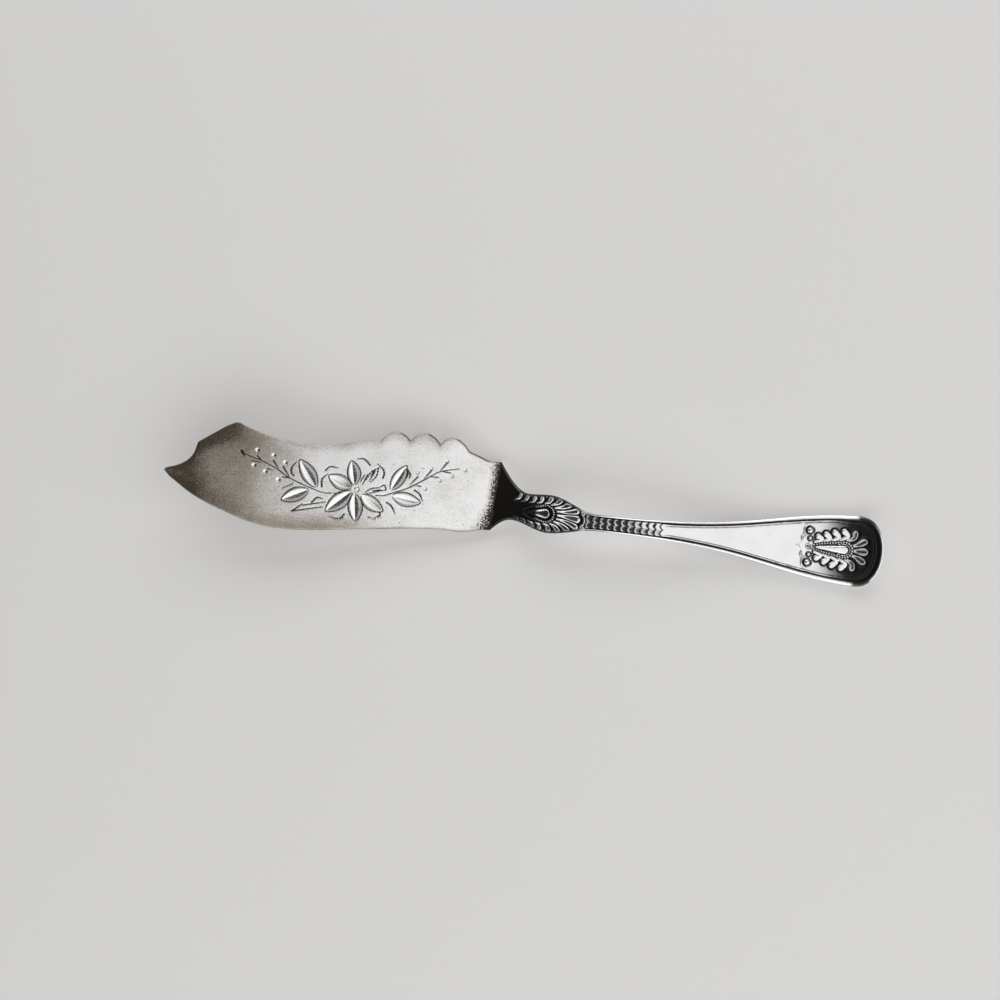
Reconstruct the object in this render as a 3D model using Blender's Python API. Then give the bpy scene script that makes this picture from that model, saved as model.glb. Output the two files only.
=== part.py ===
"""Master butter knife: a cut and engraved sheet blade, hard-soldered on the tongue of a die-struck handle.

Metres, +Z up, lying on its heel and handle end as on a table. +X runs from the blade's tip to the handle's
end, and the origin is under the middle of the whole knife, on the table. While the pieces are made, x is
counted from the heel joint, and y from the handle's long axis.
"""

import math

import bmesh
import bpy
import numpy as np
from mathutils import Vector

MM = 0.001

# Blade: a flat sheet that rises from the heel towards its tip.
BLADE_LENGTH = 84.7 * MM
BLADE_THICKNESS = 1.2 * MM
BLADE_TILT = math.radians(10.0)
BLADE_EDGE = 0.22 * MM           # chamfer along the sheet's cut edge
OUTLINE_STEPS = 7                # straight pieces between two points of the outline
WELD = 0.002 * MM                # points of a cap and its wall that lie closer become one
FLAT = 0.999                     # a face counts as flat if its normal's rise is above this
BACK_RISE = 12.0 * MM            # hollow of the back, above the handle's axis
HOLLOW_HALF = 8.0 * MM           # half length of the hollow
HOLLOW_SHIFT = 1.5 * MM          # from the middle between scallops and peak, towards the tip
HOLLOW_HEEL_RISE = 0.55 * MM     # ends of the hollow above its lowest point
HOLLOW_TIP_RISE = 0.9 * MM
PEAK_RISE = 15.4 * MM            # corner of the back behind the tip
PEAK_FROM_TIP = 17.2 * MM
PEAK_FLANK = 2.0 * MM            # length of each flank of that corner
PEAK_FALL = 0.75 * MM            # fall over a flank
NOSE_SWELL = 0.6 * MM            # bulge between the peak and the notch
NOTCH_FROM_TIP = 7.7 * MM        # step in the back above the tip
NOTCH_RISE = 9.4 * MM
NOTCH_ARC = ((0.14, 0.45), (0.44, 0.73))    # shares of the way and of the fall from notch to tip
TIP_RISE = 1.6 * MM
TIP_BACK = 0.55 * MM             # the tip is blunted by this much on the back's side
TIP_BELLY = 1.5 * MM             # and on the cutting edge's side
BELLY_DROP = 10.1 * MM           # deepest point of the cutting edge, below the handle's axis
BELLY_FROM_TIP = 32.0 * MM
BELLY_ARC = ((0.25, 0.40), (0.50, 0.72), (0.76, 0.95))    # shares of that way and of that drop
BELLY_AT_HEEL = 6.1 * MM
BELLY_RUN = 14.0 * MM            # straight run of the cutting edge, up to here before the heel
BELLY_CORNER = 7.4 * MM          # where it turns up to the heel
SCALLOP_COUNT = 3
SCALLOP_PITCH = 7.75 * MM
SCALLOP_RISE = 2.4 * MM          # above the line between its two feet
SCALLOP_ARC = ((0.22, 0.66), (0.52, 1.0), (0.82, 0.66))    # shares of the pitch and of the rise
SCALLOP_BASE = 15.75 * MM        # feet between scallops
SCALLOP_FALL = 1.0 * MM          # the first and last foot below those
SCALLOPS_FROM_HEEL = 8.1 * MM
SHOULDER_RISE = 0.8 * MM         # between the heel and the scallops
SHOULDER_FROM_HEEL = 5.0 * MM
HEEL_FLAT = 2.6 * MM             # the blade keeps the heel's width over this length

# Heel joint: the handle's tongue laps under the blade, and the blade's end butts on the neck.
HEEL_ABOVE = 12.9 * MM           # edges of the heel, above and below the handle's axis
HEEL_BELOW = 5.0 * MM
HEEL_SLANT = math.tan(math.radians(4.0))
JOINT_GAP = 0.05 * MM            # capillary gap that the solder fills
TONGUE_LENGTH = 8.0 * MM
TONGUE_MARGIN = 2.4 * MM         # from the tongue's side to the blade's edge
TONGUE_CORNER = 3.6 * MM
TONGUE_THICKNESS = 0.9 * MM
TONGUE_STEP = 0.3 * MM           # neck's underside below the tongue's
TONGUE_ROOT = 0.35 * MM          # overlap of the tongue with the neck it is struck with
SOLDER_LEG = 0.7 * MM
SOLDER_STOP = 0.3 * MM           # the seam ends this far short of the neck

# Handle: plan, from the heel to the end.
HANDLE_LENGTH = 101.4 * MM
WAIST_ABOVE = 5.55 * MM
WAIST_ABOVE_AT = 8.9 * MM
WAIST_BELOW = 1.65 * MM
WAIST_BELOW_AT = 4.8 * MM
SHELL_ABOVE = 5.8 * MM
SHELL_BELOW = 3.95 * MM
SHELL_AT = 14.2 * MM
SHANK_HALF = 2.1 * MM            # narrowest half width
SHANK_AT = 26.5 * MM
PANEL_HALF = 4.15 * MM           # half width at the middle of the panel
PANEL_SPREAD = 0.138             # how fast the panel widens there
END_HALF = 9.15 * MM
END_ROUND = 6.9 * MM             # length of the rounded end
END_POWER = 2.4                  # squareness of the rounded end
NECK_FLARE_ABOVE = -1.05         # slopes of the neck's edges at the heel
NECK_FLARE_BELOW = -1.2

# Handle: side view and section.
CRANK_HEIGHT = 8.0 * MM          # underside at the top of the arch
CRANK_AT = 25.0 * MM
CRANK_SLOPE = 0.5
FOOT_AT = 85.0 * MM              # where the underside comes down on the table
END_LIFT = 1.6 * MM
END_LIFT_SLOPE = 0.2
SHELL_THICKNESS = 2.9 * MM
SHANK_THICKNESS = 3.1 * MM
END_THICKNESS = 2.1 * MM
SECTION_POWER = 5.0              # rounded-rectangle section
HEEL_POWER = 14.0                # nearly square section at the heel
RING_POINTS = 24

# Handle: struck ornament on the face.
RIM_RADIUS = 0.52 * MM
RIM_INSET = 0.55 * MM
THREAD_RADIUS = 0.2 * MM
THREAD_INSET = 1.65 * MM
RIM_FROM = 23.6 * MM
SCALE_ROWS = 11
SCALE_PITCH = 1.79 * MM
SCALES_FROM = 24.6 * MM
BEAD_RADIUS = 0.27 * MM
BEAD_PITCH = 0.72 * MM
SHELL_TAIL = 8.2 * MM            # neck shell: teardrop, beads and lobes
SHELL_BULB = 13.2 * MM
SHELL_BULB_HALF = 1.15 * MM
SHELL_BEAD_HALF = 2.05 * MM
SHELL_LOBES = 8                  # on each side, with one more at the end
SHELL_ROOTS_TAIL = (5.2 * MM, 2.7 * MM)
SHELL_ROOTS_SHOULDER = (13.2 * MM, 2.5 * MM)
SHELL_ROOTS_END = 16.7 * MM
SHELL_HEADS_TAIL = (6.7 * MM, 4.1 * MM)
SHELL_HEADS_SHOULDER = (15.7 * MM, 3.9 * MM)
SHELL_HEADS_END = 21.6 * MM
SHELL_CURL = 0.12                # how far a lobe bows towards the end, as a share of its length
PALMETTE_TAIL = 18.8 * MM        # palmette: the same, with x counted back from the handle's end
PALMETTE_BULB = 10.9 * MM
PALMETTE_BULB_HALF = 1.2 * MM
PALMETTE_BEAD_HALF = 2.0 * MM
PALMETTE_LOBES = 7
PALMETTE_ROOTS_TAIL = (19.2 * MM, 1.15 * MM)
PALMETTE_ROOTS_SHOULDER = (11.1 * MM, 2.6 * MM)
PALMETTE_ROOTS_END = 7.9 * MM
PALMETTE_HEADS_TAIL = (19.2 * MM, 2.2 * MM)
PALMETTE_HEADS_SHOULDER = (9.9 * MM, 4.8 * MM)
PALMETTE_HEADS_END = 4.4 * MM
PALMETTE_CURL = 0.6
BOSS_RADIUS = 0.8 * MM
BOSS_FROM_END = 19.2 * MM
BOSS_RISE = 4.35 * MM
LOBE_HALF_TAIL = 0.5 * MM        # half width of the lobes by the tail and at the end
LOBE_HALF_END = 0.85 * MM
LOBE_HEIGHT = 0.5 * MM
LOBE_ROOT = 0.4                  # width of a lobe at its root, as a share of its head's
DROP_SWELL = 0.6                 # a drop's sides widen as this power of the way from its tail
DROP_HEIGHT = 0.8 * MM
SCALE_HALF_LENGTH = 0.45         # shares of the pitch and of a file's half width
SCALE_HALF_WIDTH = 0.9
SCALE_HEIGHT = 0.28 * MM

HEEL_SEAT = TONGUE_STEP + TONGUE_THICKNESS + JOINT_GAP
HEEL_THICKNESS = HEEL_SEAT + BLADE_THICKNESS
HEEL_MIDDLE = (HEEL_ABOVE - HEEL_BELOW) / 2
END_AT = HANDLE_LENGTH - END_ROUND
PANEL_AT = (SHANK_AT + END_AT) / 2


def empty_scene():
    for old in list(bpy.data.objects):
        bpy.data.objects.remove(old, do_unlink=True)
    for old in list(bpy.data.collections):
        bpy.data.collections.remove(old)


def new_collection(name):
    made = bpy.data.collections.new(name)
    bpy.context.scene.collection.children.link(made)
    return made


def metal(name, color, roughness):
    made = bpy.data.materials.new(name)
    made.use_nodes = True
    shader = made.node_tree.nodes["Principled BSDF"]
    shader.inputs["Base Color"].default_value = (*color, 1.0)
    shader.inputs["Metallic"].default_value = 1.0
    shader.inputs["Roughness"].default_value = roughness
    return made


def smooth_through(x, stations):
    """Cubic Hermite curve through stations of (place, value, slope)."""
    x = np.asarray(x, dtype=float)
    place, value, slope = (np.array(column) for column in zip(*stations))
    left = np.clip(np.searchsorted(place, x) - 1, 0, len(place) - 2)
    span = place[left + 1] - place[left]
    t = np.clip((x - place[left]) / span, 0.0, 1.0)
    blend = t * t * (3 - 2 * t)
    start = t * (1 - t) ** 2 * span * slope[left]
    finish = t * t * (t - 1) * span * slope[left + 1]
    return value[left] * (1 - blend) + value[left + 1] * blend + start + finish


def rounded_end(x):
    """Share of the half width that the rounded end leaves at x."""
    s = np.clip((np.asarray(x, dtype=float) - END_AT) / END_ROUND, 0.0, 1.0)
    return np.sqrt(1 - s**END_POWER)


def shank_and_end():
    return [
        (SHANK_AT, SHANK_HALF, 0.0),
        (PANEL_AT, PANEL_HALF, PANEL_SPREAD),
        (END_AT, END_HALF, 0.0),
    ]


def edge_above(x):
    neck = [
        (0.0, HEEL_ABOVE, NECK_FLARE_ABOVE),
        (WAIST_ABOVE_AT, WAIST_ABOVE, 0.0),
        (SHELL_AT, SHELL_ABOVE, 0.0),
    ]
    return smooth_through(x, neck + shank_and_end()) * rounded_end(x)


def edge_below(x):
    neck = [
        (0.0, HEEL_BELOW, NECK_FLARE_BELOW),
        (WAIST_BELOW_AT, WAIST_BELOW, 0.0),
        (SHELL_AT, SHELL_BELOW, 0.0),
    ]
    return -smooth_through(x, neck + shank_and_end()) * rounded_end(x)


def underside(x):
    return smooth_through(
        x,
        [
            (0.0, 0.0, CRANK_SLOPE),
            (CRANK_AT, CRANK_HEIGHT, 0.0),
            (FOOT_AT, 0.0, 0.0),
            (HANDLE_LENGTH, END_LIFT, END_LIFT_SLOPE),
        ],
    )


def thickness(x):
    return smooth_through(
        x,
        [
            (0.0, HEEL_THICKNESS, 0.0),
            (SHELL_AT, SHELL_THICKNESS, 0.0),
            (SHANK_AT, SHANK_THICKNESS, 0.0),
            (END_AT, END_THICKNESS, 0.0),
            (HANDLE_LENGTH, END_THICKNESS, 0.0),
        ],
    )


def section_power(x):
    return smooth_through(x, [(0.0, HEEL_POWER, 0.0), (WAIST_ABOVE_AT, SECTION_POWER, 0.0)])


def face_height(x, y):
    """Height of the handle's plain upper face over the point (x, y)."""
    high, low = edge_above(x), edge_below(x)
    across = np.abs(2 * y - high - low) / (high - low)
    power = section_power(x)
    crown = (1 - np.clip(across, 0.0, 1.0) ** power) ** (1 / power)
    return underside(x) + thickness(x) * (1 + crown) / 2


def ornament_axis(x):
    """Middle line of the ornament: it leaves the handle's axis on the lopsided neck."""
    shift = (SHELL_ABOVE - SHELL_BELOW) / 2
    return smooth_through(x, [(0.0, shift, 0.0), (SHELL_AT, shift, 0.0), (SHANK_AT, 0.0, 0.0)])


def mesh_object(name, bm, collection):
    mesh = bpy.data.meshes.new(name)
    bmesh.ops.recalc_face_normals(bm, faces=bm.faces[:])
    bm.to_mesh(mesh)
    bm.free()
    made = bpy.data.objects.new(name, mesh)
    collection.objects.link(made)
    return made


def curve_as_mesh(curve, name, collection):
    """A mesh object from a curve, with its loose caps welded on."""
    drawn = bpy.data.objects.new(name, curve)
    collection.objects.link(drawn)
    seen = drawn.evaluated_get(bpy.context.evaluated_depsgraph_get())
    mesh = bpy.data.meshes.new_from_object(seen)
    bpy.data.objects.remove(drawn)
    bm = bmesh.new()
    bm.from_mesh(mesh)
    bpy.data.meshes.remove(mesh)
    bmesh.ops.remove_doubles(bm, verts=bm.verts[:], dist=WELD)
    return mesh_object(name, bm, collection)


def loft(rings):
    """Skin over rings of equally many points, with both ends closed."""
    bm = bmesh.new()
    rows = [[bm.verts.new(point) for point in ring] for ring in rings]
    count = len(rows[0])
    for near, far in zip(rows, rows[1:]):
        for k in range(count):
            n = (k + 1) % count
            bm.faces.new((near[k], near[n], far[n], far[k]))
    bm.faces.new(rows[0])
    bm.faces.new(rows[-1])
    return bm


def outline_curve(name, points, half_thickness, chamfer):
    """A filled, chamfered outline from (x, y, sharp) points. Points that are not sharp are smooth."""
    curve = bpy.data.curves.new(name, "CURVE")
    curve.dimensions = "2D"
    curve.fill_mode = "BOTH"
    curve.extrude = half_thickness - chamfer
    curve.bevel_depth = chamfer
    curve.bevel_resolution = 0
    curve.offset = -chamfer
    curve.resolution_u = OUTLINE_STEPS
    spline = curve.splines.new("BEZIER")
    spline.bezier_points.add(len(points) - 1)
    spline.use_cyclic_u = True
    for knot, (x, y, sharp) in zip(spline.bezier_points, points):
        knot.co = (x, y, 0.0)
        knot.handle_left_type = "FREE" if sharp else "AUTO"
        knot.handle_right_type = "FREE" if sharp else "AUTO"
    for index, (x, y, sharp) in enumerate(points):
        if not sharp:
            continue
        knot = spline.bezier_points[index]
        before, after = points[index - 1], points[(index + 1) % len(points)]
        knot.handle_left = knot.co.lerp(Vector((before[0], before[1], 0.0)), 1 / 3)
        knot.handle_right = knot.co.lerp(Vector((after[0], after[1], 0.0)), 1 / 3)
    return curve


def heel_x(y):
    """The slanting line of the heel joint, in the blade's plane."""
    return HEEL_SLANT * (y - HEEL_MIDDLE)


def scallop_foot(k):
    """Height of the kth foot of the scallops, counted from the heel."""
    return SCALLOP_BASE - (SCALLOP_FALL if k in (0, SCALLOP_COUNT) else 0.0)


def blade_outline():
    """Corners and curve points of the blade, from the heel's upper corner round by the tip."""
    tip = -BLADE_LENGTH
    points = [
        (heel_x(HEEL_ABOVE) - JOINT_GAP, HEEL_ABOVE, True),
        (-HEEL_FLAT, HEEL_ABOVE, False),
        (-SHOULDER_FROM_HEEL, HEEL_ABOVE + SHOULDER_RISE, False),
    ]
    for k in range(SCALLOP_COUNT):
        near = -SCALLOPS_FROM_HEEL - k * SCALLOP_PITCH
        points.append((near, scallop_foot(k), True))
        for share, rise in SCALLOP_ARC:
            chord = (1 - share) * scallop_foot(k) + share * scallop_foot(k + 1)
            points.append((near - share * SCALLOP_PITCH, chord + rise * SCALLOP_RISE, False))
    last = -SCALLOPS_FROM_HEEL - SCALLOP_COUNT * SCALLOP_PITCH
    peak = tip + PEAK_FROM_TIP
    notch = tip + NOTCH_FROM_TIP
    hollow = (last + peak) / 2 - HOLLOW_SHIFT
    points += [
        (last, scallop_foot(SCALLOP_COUNT), True),
        (last - HEEL_FLAT, scallop_foot(SCALLOP_COUNT), False),
        (hollow + HOLLOW_HALF, BACK_RISE + HOLLOW_HEEL_RISE, False),
        (hollow, BACK_RISE, False),
        (hollow - HOLLOW_HALF, BACK_RISE + HOLLOW_TIP_RISE, False),
        (peak + PEAK_FLANK, PEAK_RISE - PEAK_FALL, False),
        (peak, PEAK_RISE, False),
        (peak - PEAK_FLANK, PEAK_RISE - PEAK_FALL, False),
        ((peak + notch) / 2 - NOSE_SWELL, (PEAK_RISE + NOTCH_RISE) / 2, False),
        (notch, NOTCH_RISE, True),
    ]
    for share, fall in NOTCH_ARC:
        points.append((notch - share * NOTCH_FROM_TIP, NOTCH_RISE - fall * (NOTCH_RISE - TIP_RISE), False))
    points += [
        (tip + TIP_BACK, TIP_RISE + TIP_BACK, True),
        (tip, TIP_RISE, True),
        (tip + TIP_BELLY, TIP_RISE - TIP_BELLY, True),
    ]
    for share, drop in BELLY_ARC:
        points.append((tip + share * BELLY_FROM_TIP, -drop * BELLY_DROP, False))
    deepest = tip + BELLY_FROM_TIP
    points += [
        (deepest, -BELLY_DROP, False),
        ((deepest - BELLY_RUN) / 2, -(BELLY_DROP + BELLY_AT_HEEL) / 2, False),
        (-BELLY_RUN, -BELLY_AT_HEEL, False),
        (-BELLY_CORNER, -BELLY_AT_HEEL, False),
        (-HEEL_FLAT, -HEEL_BELOW, False),
        (heel_x(-HEEL_BELOW) - JOINT_GAP, -HEEL_BELOW, True),
    ]
    return points


def even_triangles(bm):
    """Turn the edges inside the flat faces, so that no long sliver runs from the tip to the heel."""
    bm.normal_update()
    flat = [face for face in bm.faces if abs(face.normal.z) > FLAT]
    known = set(flat)
    inside = [edge for edge in bm.edges if known.issuperset(edge.link_faces)]
    bmesh.ops.beautify_fill(bm, faces=flat, edges=inside, method="AREA")


def make_blade(collection, finish):
    curve = outline_curve("blade", blade_outline(), BLADE_THICKNESS / 2, BLADE_EDGE)
    blade = curve_as_mesh(curve, "blade", collection)
    bm = bmesh.new()
    bm.from_mesh(blade.data)
    bmesh.ops.translate(bm, verts=bm.verts[:], vec=(0.0, 0.0, BLADE_THICKNESS / 2))
    even_triangles(bm)
    bm.to_mesh(blade.data)
    bm.free()
    blade.data.materials.append(finish)
    seat_on_heel(blade)
    return blade


def seat_on_heel(piece):
    """Put a piece that is drawn in the blade's plane on the heel's seat."""
    piece.location = (HEEL_SEAT * math.sin(BLADE_TILT), 0.0, HEEL_SEAT * math.cos(BLADE_TILT))
    piece.rotation_euler = (0.0, BLADE_TILT, 0.0)


def tongue_side(grow):
    """The tongue's edge as points, from the heel's upper side round its front, set out by grow."""
    high = HEEL_ABOVE - TONGUE_MARGIN - TONGUE_CORNER
    low = -HEEL_BELOW + TONGUE_MARGIN + TONGUE_CORNER
    front = -TONGUE_LENGTH + TONGUE_CORNER
    reach = TONGUE_CORNER + grow
    turn = np.linspace(0.0, math.pi / 2, 7)
    upper = [(front - reach * math.sin(a), high + reach * math.cos(a)) for a in turn]
    lower = [(front - reach * math.cos(a), low - reach * math.sin(a)) for a in turn]
    return upper + lower


def at_heel(point, past):
    """The point's place on the line of the heel joint, moved past it towards the handle's end."""
    return (heel_x(point[1]) + past, point[1])


def make_tongue(collection):
    side = tongue_side(0.0)
    plan = side + [at_heel(side[-1], TONGUE_ROOT), at_heel(side[0], TONGUE_ROOT)]
    top, bottom = -JOINT_GAP, -JOINT_GAP - TONGUE_THICKNESS
    bm = loft([[(x, y, level) for x, y in plan] for level in (bottom, top)])
    tongue = mesh_object("tongue_tool", bm, collection)
    seat_on_heel(tongue)
    return tongue


def make_solder(collection, finish):
    """Fillet of hard solder in the corner between the tongue's edge and the blade's underside."""
    inner, outer = tongue_side(JOINT_GAP), tongue_side(JOINT_GAP + SOLDER_LEG)
    inner = [at_heel(inner[0], -SOLDER_STOP)] + inner + [at_heel(inner[-1], -SOLDER_STOP)]
    outer = [at_heel(outer[0], -SOLDER_STOP)] + outer + [at_heel(outer[-1], -SOLDER_STOP)]
    top, bottom = -JOINT_GAP, -JOINT_GAP - SOLDER_LEG
    rings = [((ix, iy, top), (ix, iy, bottom), (ox, oy, top)) for (ix, iy), (ox, oy) in zip(inner, outer)]
    solder = mesh_object("solder_seam", loft(rings), collection)
    solder.data.materials.append(finish)
    seat_on_heel(solder)
    return solder


def handle_ring(x):
    """Rounded-rectangle section at x, tipped and slanted near the heel to lie along the joint."""
    high, low = float(edge_above(x)), float(edge_below(x))
    tall = float(thickness(x))
    fade = max(0.0, 1 - x / WAIST_ABOVE_AT) ** 2
    tip_over = BLADE_TILT * fade
    power = 2 / float(section_power(x))
    angle = np.linspace(0.0, 2 * math.pi, RING_POINTS, endpoint=False) + math.pi / RING_POINTS
    across = np.sign(np.cos(angle)) * np.abs(np.cos(angle)) ** power
    up = np.sign(np.sin(angle)) * np.abs(np.sin(angle)) ** power
    y = (high + low) / 2 + across * (high - low) / 2
    h = tall * (1 + up) / 2
    slant = HEEL_SLANT * (y - HEEL_MIDDLE) * fade
    ring_x = x + h * math.sin(tip_over) + slant
    ring_z = float(underside(x)) + h * math.cos(tip_over)
    return list(zip(ring_x, y, ring_z))


def handle_stations():
    neck = np.linspace(0.0, SHANK_AT, 19)
    shank = np.linspace(SHANK_AT, END_AT, 19)
    turn = np.sin(np.linspace(0.0, math.pi / 2, 11))[:-1]
    end = END_AT + END_ROUND * np.append(turn, 0.998)
    return np.concatenate([neck, shank[1:], end[1:]])


def border_path(inset, start):
    """Points of a line on the face that keeps an inset from the edge, from start round the end and back."""
    straight = np.linspace(start, END_AT, 24)
    curved = END_AT + END_ROUND * np.sin(np.linspace(0.0, math.pi / 2, 14))
    x = np.concatenate([straight, curved[1:]])
    y = edge_above(x)
    along = np.gradient(np.stack([x, y]), axis=1)
    along /= np.linalg.norm(along, axis=0)
    along[:, -1] = (0.0, -1.0)
    inner_x = x + along[1] * inset
    inner_y = y - along[0] * inset
    path_x = np.concatenate([inner_x, inner_x[-2::-1]])
    path_y = np.concatenate([inner_y, -inner_y[-2::-1]])
    return path_x, path_y


def make_border(name, inset, radius, start, collection):
    """Half-round raised line, struck along the edge of the handle's face."""
    x, y = border_path(inset, start)
    z = face_height(x, y)
    curve = bpy.data.curves.new(name, "CURVE")
    curve.dimensions = "3D"
    curve.bevel_depth = radius
    curve.bevel_resolution = 1
    curve.use_fill_caps = True
    spline = curve.splines.new("POLY")
    spline.points.add(len(x) - 1)
    spline.points.foreach_set("co", np.stack([x, y, z, np.ones_like(x)], axis=1).ravel())
    return curve_as_mesh(curve, name, collection)


def add_lobe(bm, root, elbow, head, half, height, around=8, along=7):
    """A swelling leaf on the face: a sphere drawn out along a bent line from its root to its head."""
    made = bmesh.ops.create_uvsphere(bm, u_segments=around, v_segments=along, radius=1.0)
    root, elbow, head = np.array(root), np.array(elbow), np.array(head)
    for vert in made["verts"]:
        side, up, lengthwise = vert.co
        t = (lengthwise + 1) / 2
        middle = (1 - t) ** 2 * root + 2 * t * (1 - t) * elbow + t * t * head
        heading = (1 - t) * (elbow - root) + t * (head - elbow)
        heading = heading / np.linalg.norm(heading)
        reach = side * half * (LOBE_ROOT + (1 - LOBE_ROOT) * t)
        x = middle[0] - heading[1] * reach
        y = middle[1] + heading[0] * reach
        y += float(ornament_axis(x))
        vert.co = (x, y, float(face_height(x, y)) + up * height)


def add_bead(bm, x, y, radius, around=6, along=4):
    made = bmesh.ops.create_uvsphere(bm, u_segments=around, v_segments=along, radius=radius)
    middle = y + float(ornament_axis(x))
    bmesh.ops.translate(bm, verts=made["verts"], vec=(x, middle, float(face_height(x, middle))))


def bead_places(tail, bulb, half):
    """Points spaced by the bead pitch round a teardrop: two swelling sides and a half circle."""
    side_x = np.linspace(tail, bulb, 30)
    side_y = half * ((side_x - tail) / (bulb - tail)) ** DROP_SWELL
    turn = np.linspace(math.pi / 2, 0.0, 20)[1:]
    x = np.concatenate([side_x, bulb + half * np.cos(turn)])
    y = np.concatenate([side_y, half * np.sin(turn)])
    walked = np.concatenate([[0.0], np.cumsum(np.hypot(np.diff(x), np.diff(y)))])
    count = round(walked[-1] / BEAD_PITCH)
    stops = np.linspace(walked[-1], walked[-1] / count, count)
    places = list(zip(np.interp(stops, walked, x), np.interp(stops, walked, y)))
    return places + [(px, -py) for px, py in places[1:]]


def hairpin(tail, shoulder, end, count):
    """Points at even steps from (end, 0) round a quarter ellipse to the shoulder, then on to the tail."""
    turn = np.linspace(0.0, math.pi / 2, 30)
    x = np.append(shoulder[0] + (end - shoulder[0]) * np.cos(turn), tail[0])
    y = np.append(shoulder[1] * np.sin(turn), tail[1])
    walked = np.concatenate([[0.0], np.cumsum(np.hypot(np.diff(x), np.diff(y)))])
    stops = np.linspace(0.0, walked[-1], count)
    return np.stack([np.interp(stops, walked, x), np.interp(stops, walked, y)], axis=1)


def room_beside(x, flip):
    """How far the face reaches from the ornament's middle line at x, on one side."""
    edge = edge_above(x) if flip > 0 else edge_below(x)
    return float(abs(edge - ornament_axis(x)))


def add_fan(bm, roots, heads, curl):
    """Curled lobes from roots to heads on both sides of the axis. The first one lies on the axis."""
    for k, (root, head) in enumerate(zip(roots, heads)):
        share = k / (len(roots) - 1)
        half = LOBE_HALF_END + (LOBE_HALF_TAIL - LOBE_HALF_END) * share
        bow = np.array([curl * min(1.0, 2 * share) * math.dist(root, head), 0.0])
        for flip in (1, -1) if k else (1,):
            shrink = min(1.0, (room_beside(head[0], flip) - half) / max(head[1], half))
            side = np.array([1.0, flip * shrink])
            elbow = (root + head) / 2 * side + bow
            add_lobe(bm, root * side, elbow, head * side, half * shrink, LOBE_HEIGHT)


def add_drop(bm, tail, bulb, half):
    add_lobe(bm, (tail, 0.0), (bulb - half, 0.0), (bulb + half, 0.0), half, DROP_HEIGHT)


def add_scales(bm):
    """Two rows of overlapping leaves up the shank, with their points towards the blade."""
    for row in range(SCALE_ROWS):
        x = SCALES_FROM + row * SCALE_PITCH
        half = (float(edge_above(x)) - RIM_INSET - RIM_RADIUS) / 2
        for flip in (1, -1):
            root = (x + SCALE_HALF_LENGTH * SCALE_PITCH, flip * half)
            head = (x - SCALE_HALF_LENGTH * SCALE_PITCH, flip * half)
            add_lobe(bm, root, (x, flip * half), head, SCALE_HALF_WIDTH * half, SCALE_HEIGHT, 6, 5)


def from_end(point):
    """Place of a point whose x is counted back from the handle's end."""
    return (HANDLE_LENGTH - point[0], point[1])


def make_relief(collection):
    end = HANDLE_LENGTH
    lobes = bmesh.new()
    add_drop(lobes, SHELL_TAIL, SHELL_BULB, SHELL_BULB_HALF)
    roots = hairpin(SHELL_ROOTS_TAIL, SHELL_ROOTS_SHOULDER, SHELL_ROOTS_END, SHELL_LOBES + 1)
    heads = hairpin(SHELL_HEADS_TAIL, SHELL_HEADS_SHOULDER, SHELL_HEADS_END, SHELL_LOBES + 1)
    add_fan(lobes, roots, heads, SHELL_CURL)
    add_drop(lobes, end - PALMETTE_TAIL, end - PALMETTE_BULB, PALMETTE_BULB_HALF)
    tail, shoulder = from_end(PALMETTE_ROOTS_TAIL), from_end(PALMETTE_ROOTS_SHOULDER)
    roots = hairpin(tail, shoulder, end - PALMETTE_ROOTS_END, PALMETTE_LOBES + 1)
    tail, shoulder = from_end(PALMETTE_HEADS_TAIL), from_end(PALMETTE_HEADS_SHOULDER)
    heads = hairpin(tail, shoulder, end - PALMETTE_HEADS_END, PALMETTE_LOBES + 1)
    add_fan(lobes, roots, heads, PALMETTE_CURL)
    add_scales(lobes)
    for flip in (1, -1):
        add_bead(lobes, end - BOSS_FROM_END, flip * BOSS_RISE, BOSS_RADIUS, 10, 6)
    beads = bmesh.new()
    places = bead_places(SHELL_TAIL, SHELL_BULB, SHELL_BEAD_HALF)
    places += bead_places(end - PALMETTE_TAIL, end - PALMETTE_BULB, PALMETTE_BEAD_HALF)
    for x, y in places:
        add_bead(beads, x, y, BEAD_RADIUS)
    return mesh_object("relief_tool", lobes, collection), mesh_object("bead_tool", beads, collection)


def make_handle(collection, tools, finish):
    handle = mesh_object("handle", loft([handle_ring(x) for x in handle_stations()]), collection)
    handle.data.materials.append(finish)
    relief, beads = make_relief(tools)
    rim = make_border("rim_tool", RIM_INSET, RIM_RADIUS, RIM_FROM, tools)
    thread_from = SCALES_FROM + SCALE_ROWS * SCALE_PITCH
    thread = make_border("thread_tool", THREAD_INSET, THREAD_RADIUS, thread_from, tools)
    for tool in (make_tongue(tools), rim, thread, relief, beads):
        tool.hide_render = True
        tool.display_type = "WIRE"
        union = handle.modifiers.new(tool.name, "BOOLEAN")
        union.operation = "UNION"
        union.object = tool
        union.solver = "EXACT"
        union.use_self = tool in (relief, beads)
    return handle


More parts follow.
